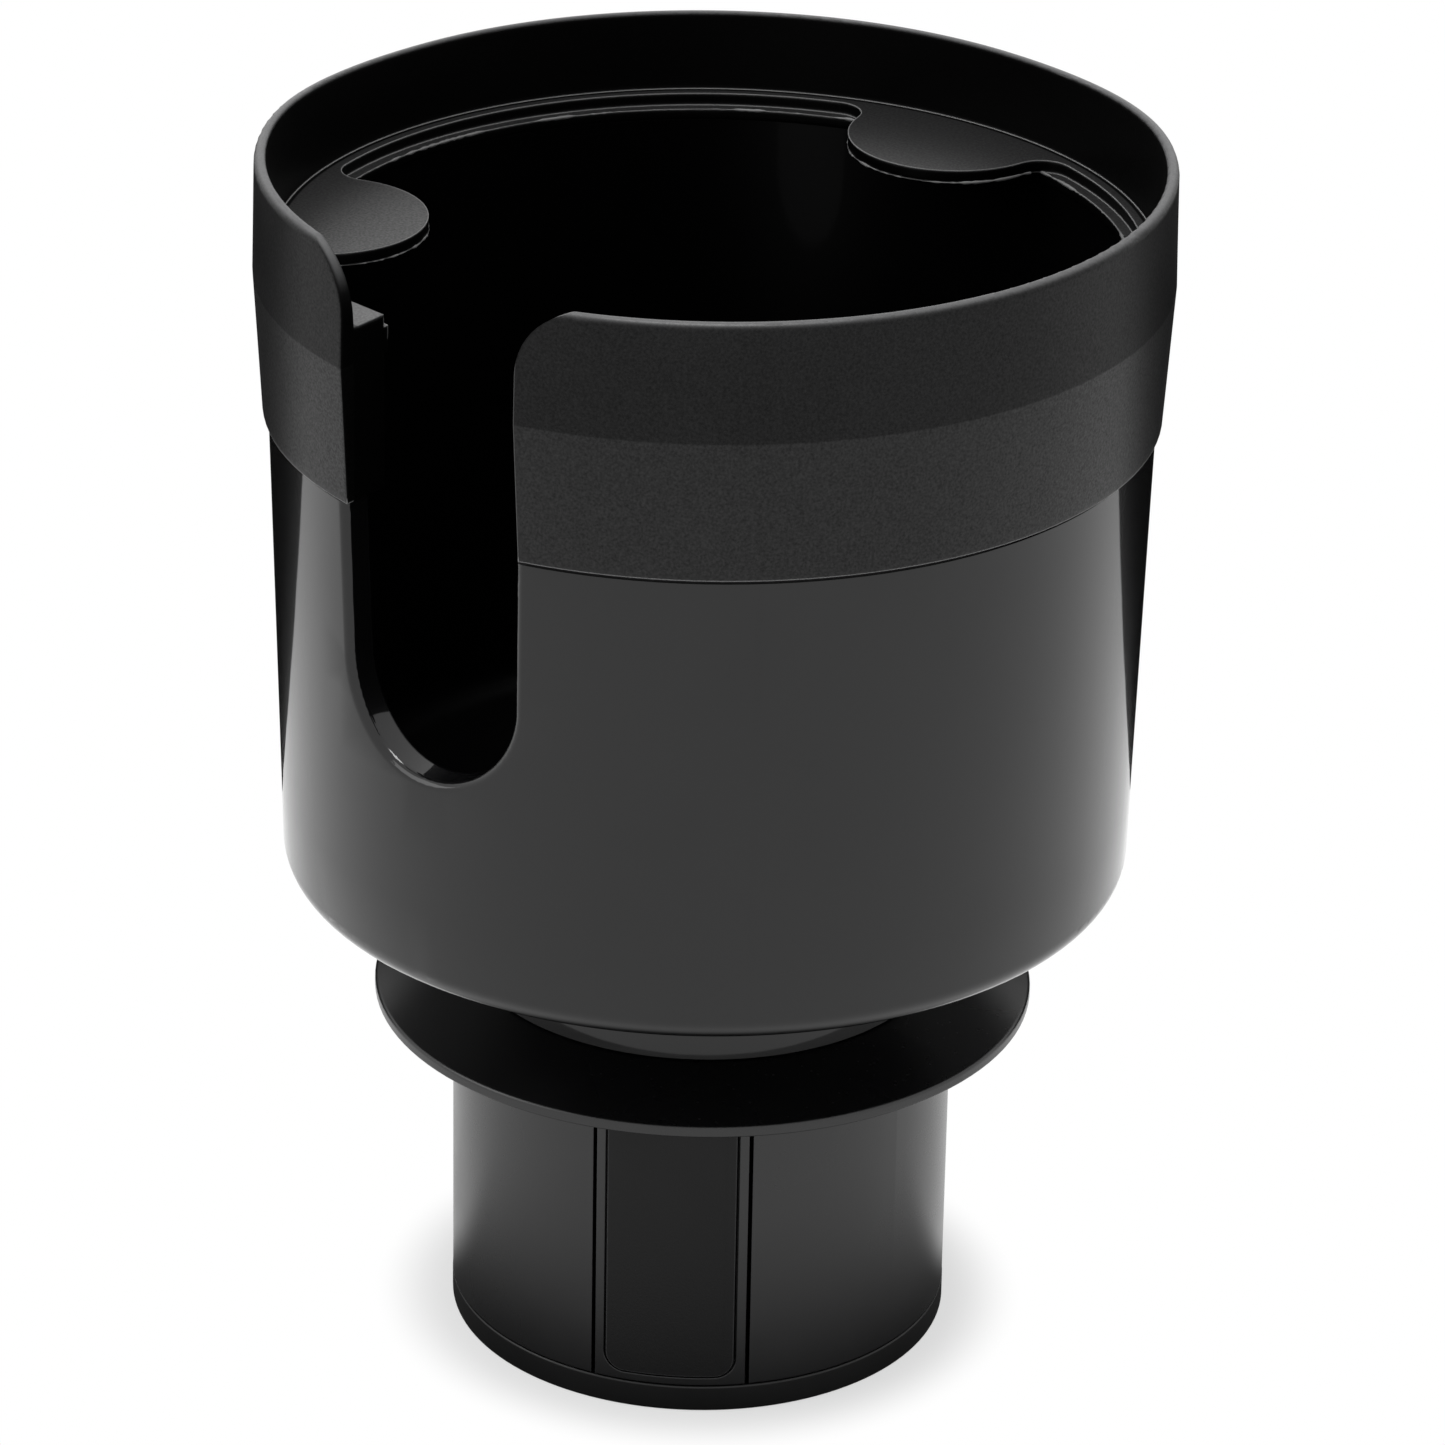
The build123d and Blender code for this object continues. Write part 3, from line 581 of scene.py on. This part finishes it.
class EXPANDER_OT_bowl(bpy.types.Operator):
    """Polished plastic for the bowl, matt inside with a painted shade, and for its turning neck"""

    bl_idname = "expander.bowl"
    bl_label = "Finish bowl and neck"

    def execute(self, context):
        settings = context.scene.expander_moulded
        material, tree, shader = new_material("bowl_plastic")
        grain = place_group(tree, shared("grain", grain_group), Size=0.5 * MM)
        marks = place_group(tree, shared("smudge", smudge_group))
        edges = place_group(tree, shared("edge", edge_group), Round=settings.edge_round)
        place = place_group(tree, shared("axis", axis_group))
        # The inside runs parallel to the tapered outside, up from the raised floor
        marked, height = marks.outputs["Mask"], place.outputs["Height"]
        taper = product(tree, height, BOWL_TAPER)
        straightened = calculate(tree, "SUBTRACT", place.outputs["Radius"], taper)
        inside = product(tree, mask_under(tree, straightened, BOWL_INSIDE, 0.15 * MM),
                         mask_over(tree, height, BOWL_FLOOR, 0.25 * MM))
        color = settings.bowl_color
        tone = mixed_color(tree, marked, color, lighter(color, 1.3))
        # Painted highlight: the colour is made lighter along the bowl's softened edges
        tone = mixed_color(tree, edges.outputs["Mask"], tone, lighter(color, 2.0))
        # Painted shade: the inside takes the darker colour
        tone = mixed_color(tree, inside, tone, settings.inside_shade_color)
        join(tree, tone, shader.inputs["Base Color"])
        join(tree, ramp_between(tree, marked, 0.3, 0.36), shader.inputs["Roughness"])
        skin = product(tree, ramp_between(tree, inside, 1.0, settings.inside_gloss),
                       ramp_between(tree, marked, 1.0, 0.93))
        join(tree, skin, shader.inputs["Coat Weight"])
        add_bump(tree, shader, grain, 0.001 * MM, edges.outputs["Normal"])
        put_in(shader, Specular_IOR_Level=0.06, Coat_Roughness=settings.gloss_roughness, Coat_IOR=1.46)
        shell = welded("bowl_shell", "bowl", "bowl_unit")
        dress(material, shell, cad("turning_collar"))
        return {"FINISHED"}


def sleeve_masks(tree, place):
    """Masks of the sleeve's zones: skirt, tabs, outer faces, the rim's painted highlight, and painted
    highlight lines along edges.
    """
    height, radius, side = (place.outputs[name] for name in ("Height", "Radius", "Side"))
    upward = place.outputs["Upward"]
    skirt = product(tree, step_mask(tree, height, RIM_HEIGHT, RIM_HEIGHT - 0.3 * MM),
                    mask_over(tree, radius, WALL_INSIDE, 0.2 * MM))
    tabs = product(tree, mask_under(tree, radius, LEDGE_RADIUS, 0.15 * MM),
                   step_mask(tree, upward, 0.3, 0.7))
    outer = step_mask(tree, place.outputs["Outward"], 0.3, 0.95)
    # Painted highlight on the top of the wall over the ledges: full on the rim, weaker on the thick
    # ends at the slot
    top = mask_over(tree, height, LEDGE_HEIGHT + 1.0 * MM, 0.2 * MM)
    rim = product(tree, step_mask(tree, upward, 0.3, 0.95), top,
                  mask_under(tree, radius, RIM_EDGE, 0.45 * MM),
                  ramp_between(tree, mask_over(tree, height, WALL_HEIGHT, 2 * MM), 0.4, 1.0))
    # Painted highlights along edges: the ledges and tabs, the slot's right side and the skirt's foot
    within = step_mask(tree, radius, WALL_INSIDE + 0.4 * MM, WALL_INSIDE + 0.1 * MM)
    over_lower = mask_over(tree, height, LOWER_LEDGE_HEIGHT - 0.35 * MM, 0.15 * MM)
    ledges = product(tree, within, over_lower, opposite(tree, top))
    slot_side = product(tree, *[step_mask(tree, side, *ends) for ends in SLOT_LINE])
    foot = step_mask(tree, height, SLEEVE_FOOT + 0.9 * MM, SLEEVE_FOOT + 0.3 * MM)
    outside = product(tree, calculate(tree, "MAXIMUM", slot_side, foot), opposite(tree, within))
    lines = calculate(tree, "ADD", ledges, product(tree, outside, 0.9), clamp=True)
    return skirt, tabs, outer, rim, lines


class EXPANDER_OT_sleeve(bpy.types.Operator):
    """Matt rubber for the rim sleeve, smoother on the skirt, with painted highlights on rim and edges,
    painted light on the tabs and painted shade inside the wall
    """

    bl_idname = "expander.sleeve"
    bl_label = "Finish rim sleeve"

    def execute(self, context):
        settings = context.scene.expander_rubber
        material, tree, shader = new_material("sleeve_rubber")
        grain = place_group(tree, shared("grain", grain_group), Size=settings.grain_size)
        marks = place_group(tree, shared("smudge", smudge_group), Size=0.02, Dust=0.5)
        edges = place_group(tree, shared("edge", edge_group), Round=settings.edge_round)
        fine_edges = place_group(tree, shared("edge", edge_group), Round=0.3 * MM, Gain=5.0)
        place = place_group(tree, shared("axis", axis_group))
        join(tree, edges.outputs["Normal"], place.inputs["Normal"])
        grained, marked = grain.outputs["Mask"], marks.outputs["Mask"]
        skirt, tabs, outer, rim, lines = sleeve_masks(tree, place)

        mottle = calculate(tree, "ADD", marked, calculate(tree, "SUBTRACT", grained, 0.45), clamp=True)
        tone = mixed_color(tree, mottle, settings.sleeve_color, lighter(settings.sleeve_color, 2.2))
        # Painted shade: faces that don't face outward take the darker colour
        tone = mixed_color(tree, outer, settings.painted_shade_color, tone)
        # Painted light on the upper sides of the ledge and the tabs
        tone = mixed_color(tree, tabs, tone, settings.tab_lit_color)
        # Painted highlight along the edges
        highlit = product(tree, fine_edges.outputs["Mask"], lines)
        tone = mixed_color(tree, highlit, tone, settings.edge_highlight_color)
        # Painted highlight on the top of the wall
        tone = mixed_color(tree, rim, tone, settings.rim_color)
        join(tree, tone, shader.inputs["Base Color"])
        rough = ramp_between(tree, marked, settings.roughness, settings.roughness + 0.08)
        join(tree, rough, shader.inputs["Roughness"])

        # The end faces at the slot and the inside of the wall stay dull
        shine = product(tree, skirt, settings.skirt_gloss)
        for zone, gloss in ((tabs, settings.tab_gloss), (outer, settings.wall_gloss), (rim, 0.5)):
            shine = calculate(tree, "ADD", shine, product(tree, zone, gloss), clamp=zone is rim)
        shine = product(tree, shine, ramp_between(tree, grained, 0.1, 1.9))
        join(tree, shine, shader.inputs["Coat Weight"])
        add_bump(tree, shader, grain, 0.02 * MM, edges.outputs["Normal"])
        put_in(shader, Specular_IOR_Level=0.04, Coat_Roughness=0.36)

        away = level_direction(math.degrees(context.scene.expander_studio.azimuth) + 180)
        wall_foot = LEDGE_HEIGHT + 1.5 * MM

        def settled(point):
            """Lowers the soft wall a little on the side away from the camera."""
            rise = (point.z - wall_foot) / (SLEEVE_TOP - wall_foot)
            back = min(1.0, max(0.0, (point.dot(away) / WALL_OUTSIDE - 0.1) / 0.65))
            if rise > 0:
                point.z -= settings.wall_dip * rise * back * back * (3 - 2 * back)
            return point

        sleeve = refitted("rim_rubber", "rim_sleeve", "bowl_unit", settled)
        dress(material, sleeve)
        return {"FINISHED"}


def sharp_edges(source, low, high, inner, outer):
    """Sharp edges of a CAD node between two heights and two radii, and the node's points."""
    work = bmesh.new()
    work.from_mesh(source.data)
    bmesh.ops.remove_doubles(work, verts=work.verts, dist=0.002 * MM)
    found = []
    for edge in work.edges:
        ends = [vertex.co for vertex in edge.verts]
        if not all(low < end.z < high and inner < from_axis(end) < outer for end in ends):
            continue
        if len(edge.link_faces) == 2 and edge.calc_face_angle(0) > SHARP_ANGLE:
            found.append((edge.verts[0].index, edge.verts[1].index))
    places = {vertex.index: vertex.co.copy() for vertex in work.verts}
    work.free()
    return found, places


def chained(edges):
    """Runs of points that follow on from edge to edge."""
    beside = {}
    for first, second in edges:
        beside.setdefault(first, []).append(second)
        beside.setdefault(second, []).append(first)
    left = {frozenset(pair) for pair in edges}
    starts = sorted(beside, key=lambda point: (len(beside[point]) == 2, point))
    chains = []
    for start in starts:
        for onward in sorted(beside[start]):
            if frozenset((start, onward)) not in left:
                continue
            chain = [start]
            point = onward
            before = start
            while True:
                left.discard(frozenset((before, point)))
                chain.append(point)
                ahead = [other for other in sorted(beside[point])
                         if frozenset((point, other)) in left]
                if not ahead or len(beside[point]) != 2:
                    break
                before, point = point, ahead[0]
            chains.append(chain)
    return chains


def even_points(points, step):
    """Points at even steps along a run."""
    spaced = [points[0]]
    carried = 0.0
    for first, second in zip(points, points[1:]):
        length = (second - first).length
        place = step - carried
        while place < length:
            spaced.append(first.lerp(second, place / length))
            place += step
        carried = length - (place - step)
    if (spaced[-1] - points[-1]).length > step * 0.3:
        spaced.append(points[-1])
    return spaced


class EXPANDER_OT_flash(bpy.types.Operator):
    """Ragged beads of thin rubber along the sleeve's parting lines, pale as a painted highlight"""

    bl_idname = "expander.flash"
    bl_label = "Add mould flash"

    def execute(self, context):
        settings = context.scene.expander_flash
        chance = random.Random(settings.seed)
        curve = bpy.data.curves.new("parting_flash", "CURVE")
        curve.dimensions = "3D"
        curve.bevel_depth = settings.thickness / 2
        curve.bevel_resolution = 1
        curve.use_fill_caps = True
        low, high = LOWER_LEDGE_HEIGHT - 0.1 * MM, LOWER_LEDGE_HEIGHT + 0.1 * MM
        for inner, outer in (LOWER_LEDGE_EDGE, TAB_EDGE):
            edges, points = sharp_edges(cad("rim_sleeve"), low, high, inner, outer)
            for chain in chained(edges):
                run = even_points([points[index] for index in chain], settings.step)
                if len(run) < 4:
                    continue
                line = curve.splines.new("POLY")
                line.points.add(len(run) - 1)
                size = 1.0
                for knot, place in zip(line.points, run):
                    size = min(1.7, max(0.15, size + chance.uniform(-0.8, 0.8)))
                    inward = Vector((-place.x, -place.y, 0)).normalized()
                    knot.co = (*(place + inward * chance.uniform(-0.03, 0.12) * MM), 1)
                    knot.radius = size
        if not curve.splines:
            raise RuntimeError("no parting line was found on the sleeve")
        piece = new_object("parting_flash", curve)
        # The bead is real flash; its pale colour is a painted highlight
        material = moulded("flash_rubber", settings.color, 0.4, grain_size=0.2 * MM,
                           grain_depth=0.004 * MM, edge_round=0.02 * MM, specular=0.4)
        curve.materials.append(material)
        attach(piece, "bowl_unit")
        return {"FINISHED"}


def refitted_jaws(name, source, cad_radius, radius):
    """Stand-ins for a node of each jaw, with the outer face moved to another radius."""
    pieces = []
    for number, angle in enumerate(JAW_ANGLES, start=1):
        axis = level_direction(angle)

        def face(point, axis=axis):
            if from_axis(point) < cad_radius - SAME_PLACE:
                return point
            return moved_along(point, axis, radius)

        pieces.append(refitted(name.format(number), source.format(number), f"jaw_unit_{number}",
                               face))
    return pieces


class EXPANDER_OT_base(bpy.types.Operator):
    """Walls, bottom plate and jaws of the base, level with each other, in satin plastic"""

    bl_idname = "expander.base"
    bl_label = "Finish base"

    def execute(self, context):
        settings = context.scene.expander_moulded
        sizes = context.scene.expander_base

        def walls(point):
            off_wall = abs(from_axis(point) - WALL_RADIUS) > SAME_PLACE
            if off_wall or point.z > FLANGE_UNDER + 0.4 * MM:
                return point
            if abs(point.z - PLATE_TOP) < SAME_PLACE:
                point.z += sizes.foot_gap
            for angle in JAW_ANGLES:
                axis = level_direction(angle)
                if point.dot(axis) > 0 and abs(beside_axis(point, axis)) < WINDOW_HALF_WIDTH:
                    return moved_along(point, axis, sizes.wall_radius)
            return grown_outward(point, sizes.wall_radius)

        def plate(point):
            radius = from_axis(point)
            if radius < PLATE_RADIUS - PLATE_RIM:
                return point
            return grown_outward(point, radius + sizes.plate_radius - PLATE_RADIUS)

        shell = refitted("base_shell", "base_housing", "base", walls)
        foot = refitted("foot_plate", "bottom_plate", "base", plate)
        panels = refitted_jaws("jaw_panel_{}", "jaw_{}", JAW_RADIUS, sizes.jaw_radius)
        # Painted highlight along the edges of the housing, jaws and plate, three times as light
        plastic = moulded("base_plastic", settings.base_color, settings.base_roughness,
                          grain_size=0.4 * MM, grain_depth=0.006 * MM, edge_round=settings.edge_round,
                          specular=0.62, edge_highlight_gain=3.0)
        dress(plastic, shell, *panels)
        # Painted shade: the bottom plate is darker than the housing
        darker = moulded("plate_plastic", settings.plate_shade_color, settings.base_roughness + 0.12,
                         grain_size=0.4 * MM, grain_depth=0.004 * MM,
                         edge_round=settings.edge_round, specular=0.45, edge_highlight_gain=3.0)
        dress(darker, foot)
        return {"FINISHED"}


class EXPANDER_OT_pads(bpy.types.Operator):
    """Grip pads of matt rubber in the jaws"""

    bl_idname = "expander.pads"
    bl_label = "Finish grip pads"

    def execute(self, context):
        settings = context.scene.expander_rubber
        radius = context.scene.expander_base.pad_radius
        pads = refitted_jaws("grip_pad_{}", "jaw_pad_{}", PAD_RADIUS, radius)
        # Painted highlight: the pads' edges are made far lighter than their rubber
        material = moulded("pad_rubber", settings.pad_color, settings.roughness + 0.04,
                           grain_size=settings.grain_size, grain_depth=0.03 * MM,
                           edge_round=0.3 * MM, specular=0.28, edge_highlight_gain=20.0)
        dress(material, *pads)
        return {"FINISHED"}


class EXPANDER_OT_running_parts(bpy.types.Operator):
    """Unpigmented low-friction plastic for the cam disc and the glide ring"""

    bl_idname = "expander.running_parts"
    bl_label = "Finish cam disc and glide ring"

    def execute(self, context):
        settings = context.scene.expander_moulded
        material = moulded("natural_plastic", settings.natural_color, 0.42, grain_size=0.6 * MM,
                           grain_depth=0.003 * MM, edge_round=settings.edge_round)
        dress(material, cad("cam_disc"), cad("glide_ring"))
        return {"FINISHED"}


class EXPANDER_OT_hardware(bpy.types.Operator):
    """Plated steel for the screws, the cam pins and the washer"""

    bl_idname = "expander.hardware"
    bl_label = "Finish screws and pins"

    def execute(self, context):
        settings = context.scene.expander_steel
        material, tree, shader = new_material("plated_steel")
        grain = place_group(tree, shared("grain", grain_group), Size=0.2 * MM)
        marks = place_group(tree, shared("smudge", smudge_group), Size=0.004)
        tone = mixed_color(tree, marks.outputs["Mask"], settings.color, lighter(settings.color, 0.8))
        join(tree, tone, shader.inputs["Base Color"])
        rough = ramp_between(tree, marks.outputs["Mask"], settings.roughness,
                             settings.roughness + 0.2)
        join(tree, rough, shader.inputs["Roughness"])
        add_bump(tree, shader, grain, 0.003 * MM)
        put_in(shader, Metallic=1.0)
        names = ("collar_screws", "plate_screws", "hub_screw", "hub_washer",
                 "cam_pin_1", "cam_pin_2", "cam_pin_3")
        dress(material, *[cad(name) for name in names])
        return {"FINISHED"}


# Studio

def plain_sheet(name, corners, material):
    """A flat sheet between four corners."""
    mesh = bpy.data.meshes.new(name)
    work = bmesh.new()
    work.faces.new([work.verts.new(corner) for corner in corners])
    work.to_mesh(mesh)
    work.free()
    sheet = new_object(name, mesh)
    mesh.materials.append(material)
    return sheet


def seen_rays(tree):
    """Light Path and a mask of the rays that should see a white background."""
    rays = node(tree, "ShaderNodeLightPath")
    seen = rays.outputs["Is Camera Ray"]
    for other in ("Is Glossy Ray", "Is Transmission Ray"):
        seen = calculate(tree, "MAXIMUM", seen, rays.outputs[other])
    return rays, seen


FLOOR_HALF_WIDTH = 4.0
SEEN_SHADOW = (34 * MM, 45 * MM)         # radii where the shadow is full and gone for the camera
MIRRORED_SHADOW = (33 * MM, 88 * MM)     # the same for what the object mirrors
SHADOW_SHORTENING = 4.0                  # how much less far the mirrored one reaches behind
CARD_ENDS = (50 * MM, 340 * MM)          # how far each dark card's ends are from the middle
OVERHEAD_LAMP = {"size": 0.5, "place": (0, 0.1, 1.6)}
SIDE_LAMP = {"size": 0.8, "place": (-1.1, -0.2, 0.9)}
LAMP_AIM = (0, 0, 0.1)


def stretched_reach(tree, place, azimuth):
    """Distance from the axis over the floor, lengthened on the side away from the camera."""
    turned = node(tree, "ShaderNodeMapping", vector_type="TEXTURE")
    turned.inputs["Rotation"].default_value = (0, 0, azimuth)
    join(tree, place, turned.inputs["Vector"])
    parts = node(tree, "ShaderNodeSeparateXYZ")
    join(tree, turned.outputs["Vector"], parts.inputs[0])
    away = parts.outputs["Y"]
    extra = product(tree, calculate(tree, "MAXIMUM", away, 0.0), SHADOW_SHORTENING)
    stretched = node(tree, "ShaderNodeCombineXYZ")
    join(tree, parts.outputs["X"], stretched.inputs["X"])
    join(tree, calculate(tree, "ADD", away, extra), stretched.inputs["Y"])
    reach = node(tree, "ShaderNodeVectorMath", operation="LENGTH")
    join(tree, stretched.outputs[0], reach.inputs[0])
    return reach.outputs["Value"]


def floor_material(azimuth):
    """Pale floor: white away from the object, with its shadow kept close to the base."""
    material, tree, shader = new_material("pale_floor")
    put_in(shader, Base_Color=(0.86, 0.86, 0.86, 1), Roughness=0.9, Specular_IOR_Level=0.1)
    place = node(tree, "ShaderNodeTexCoord")
    length = node(tree, "ShaderNodeVectorMath", operation="LENGTH")
    join(tree, place.outputs["Object"], length.inputs[0])
    reach = stretched_reach(tree, place.outputs["Object"], azimuth)
    rays, seen = seen_rays(tree)
    # What the camera sees goes to white close to the base
    near_base = ramp_between(tree, step_mask(tree, length.outputs["Value"], *SEEN_SHADOW), 0.6, 1.0)
    # What the object mirrors is dark in the shadow at its foot and white further out
    mirrored = ramp_between(tree, step_mask(tree, reach, *MIRRORED_SHADOW), 0.06, 1.0)
    white = node(tree, "ShaderNodeEmission")
    from_glossy = rays.outputs["Is Glossy Ray"]
    strength = calculate(tree, "ADD", product(tree, mirrored, from_glossy),
                         opposite(tree, from_glossy))
    join(tree, strength, white.inputs["Strength"])
    share = calculate(tree, "MAXIMUM", near_base, from_glossy)
    mix = node(tree, "ShaderNodeMixShader")
    join(tree, product(tree, share, seen), mix.inputs[0])
    join(tree, shader.outputs[0], mix.inputs[1])
    join(tree, white.outputs[0], mix.inputs[2])
    join(tree, mix.outputs[0], tree.nodes["Material Output"].inputs["Surface"])
    return material


def card_material():
    """Dark card that draws the sides of a black object against a white background."""
    material, _, shader = new_material("dark_card")
    put_in(shader, Base_Color=(0.008, 0.008, 0.008, 1), Roughness=1.0, Specular_IOR_Level=0.0)
    return material


def light_sky(strength):
    """World that is white where it is seen or mirrored, and lights the object softly."""
    world = bpy.data.worlds.new("studio_sky")
    bpy.context.scene.world = world
    world.use_nodes = True
    tree = world.node_tree
    soft = tree.nodes["Background"]
    put_in(soft, Color=(1, 1, 1, 1), Strength=strength)
    white = node(tree, "ShaderNodeBackground", Color=(1, 1, 1, 1), Strength=1.0)
    _, seen = seen_rays(tree)
    mix = node(tree, "ShaderNodeMixShader")
    join(tree, seen, mix.inputs[0])
    join(tree, soft.outputs[0], mix.inputs[1])
    join(tree, white.outputs[0], mix.inputs[2])
    join(tree, mix.outputs[0], tree.nodes["World Output"].inputs["Surface"])


def soft_lamp(name, size, power, place):
    """A square soft lamp that the camera doesn't see, aimed at the object."""
    data = bpy.data.lights.new(name, "AREA")
    data.shape = "SQUARE"
    data.size = size
    data.energy = power
    lamp = new_object(name, data)
    lamp.location = place
    lamp.rotation_euler = (Vector(LAMP_AIM) - place).to_track_quat("-Z", "Y").to_euler()
    lamp.visible_camera = False


def place_camera(settings):
    """Camera at the photograph's viewing angle."""
    yaw, pitch, roll = settings.camera_yaw, settings.camera_pitch, settings.camera_roll
    ahead = Vector((math.sin(yaw) * math.cos(pitch), math.cos(yaw) * math.cos(pitch),
                    -math.sin(pitch)))
    right = ahead.cross(Vector((0, 0, 1))).normalized()
    up = right.cross(ahead)
    leaning_right = right * math.cos(roll) + up * math.sin(roll)
    leaning_up = up * math.cos(roll) - right * math.sin(roll)
    pose = Matrix((leaning_right, leaning_up, -ahead)).transposed().to_4x4()
    pose.translation = (settings.camera_side, -settings.camera_distance, settings.camera_height)
    data = bpy.data.cameras.new("camera")
    data.lens = settings.lens
    data.sensor_width = 36
    data.clip_end = 20
    camera = new_object("camera", data)
    camera.matrix_world = Matrix.Rotation(settings.azimuth, 4, "Z") @ pose
    bpy.context.scene.camera = camera


class EXPANDER_OT_studio(bpy.types.Operator):
    """Camera, pale floor, dark cards, soft lamps and sky"""

    bl_idname = "expander.studio"
    bl_label = "Set up studio"

    def execute(self, context):
        settings = context.scene.expander_studio
        place_camera(settings)
        half = FLOOR_HALF_WIDTH
        plain_sheet("floor", [(-half, -half, 0), (half, -half, 0), (half, half, 0), (-half, half, 0)],
                    floor_material(settings.azimuth))
        turned = Matrix.Rotation(settings.azimuth, 4, "Z")
        card = card_material()
        near = settings.card_distance
        # Each card's foot runs from near the view's middle outward and a little further away
        for name, side, first, last in (("left_card", -1, near, near + 32 * MM),
                                        ("right_card", 1, near + 7 * MM, near + 26 * MM)):
            foot = [(side * end, away) for end, away in zip(CARD_ENDS, (first, last))]
            corners = [(*place, 0) for place in foot]
            corners += [(*place, settings.card_height) for place in reversed(foot)]
            sheet = plain_sheet(name, [turned @ Vector(corner) for corner in corners], card)
            sheet.visible_camera = False
            sheet.visible_diffuse = False
            sheet.visible_shadow = False
        for name, lamp, power in (("overhead_lamp", OVERHEAD_LAMP, settings.overhead),
                                  ("side_lamp", SIDE_LAMP, settings.side)):
            soft_lamp(name, lamp["size"], power, turned @ Vector(lamp["place"]))
        light_sky(settings.sky)
        context.scene.view_settings.view_transform = "Standard"
        return {"FINISHED"}


class EXPANDER_PT_panel(bpy.types.Panel):
    """Lists what makes up the scene"""

    bl_idname = "EXPANDER_PT_panel"
    bl_label = "Cup holder expander"
    bl_space_type = "VIEW_3D"
    bl_region_type = "UI"
    bl_category = "Expander"

    def draw(self, context):
        for operator in OPERATORS:
            self.layout.operator(operator.bl_idname)
        for name, group in SETTINGS.items():
            box = self.layout.box()
            values = getattr(context.scene, name)
            for label in group.__annotations__:
                box.prop(values, label)


OPERATORS = (
    EXPANDER_OT_studio, EXPANDER_OT_bowl, EXPANDER_OT_sleeve, EXPANDER_OT_flash, EXPANDER_OT_base,
    EXPANDER_OT_pads, EXPANDER_OT_running_parts, EXPANDER_OT_hardware)
SETTINGS = {
    "expander_moulded": MouldedSettings,
    "expander_base": BaseSettings,
    "expander_rubber": RubberSettings,
    "expander_flash": FlashSettings,
    "expander_steel": SteelSettings,
    "expander_studio": StudioSettings,
}


def register():
    for name, group in SETTINGS.items():
        bpy.utils.register_class(group)
        setattr(bpy.types.Scene, name, PointerProperty(type=group))
    for operator in OPERATORS:
        bpy.utils.register_class(operator)
    bpy.utils.register_class(EXPANDER_PT_panel)


def unregister():
    bpy.utils.unregister_class(EXPANDER_PT_panel)
    for operator in reversed(OPERATORS):
        bpy.utils.unregister_class(operator)
    for name, group in SETTINGS.items():
        delattr(bpy.types.Scene, name)
        bpy.utils.unregister_class(group)


def main():
    register()
    for operator in OPERATORS:
        family, name = operator.bl_idname.split(".")
        getattr(getattr(bpy.ops, family), name)()


if __name__ == "__main__":
    main()
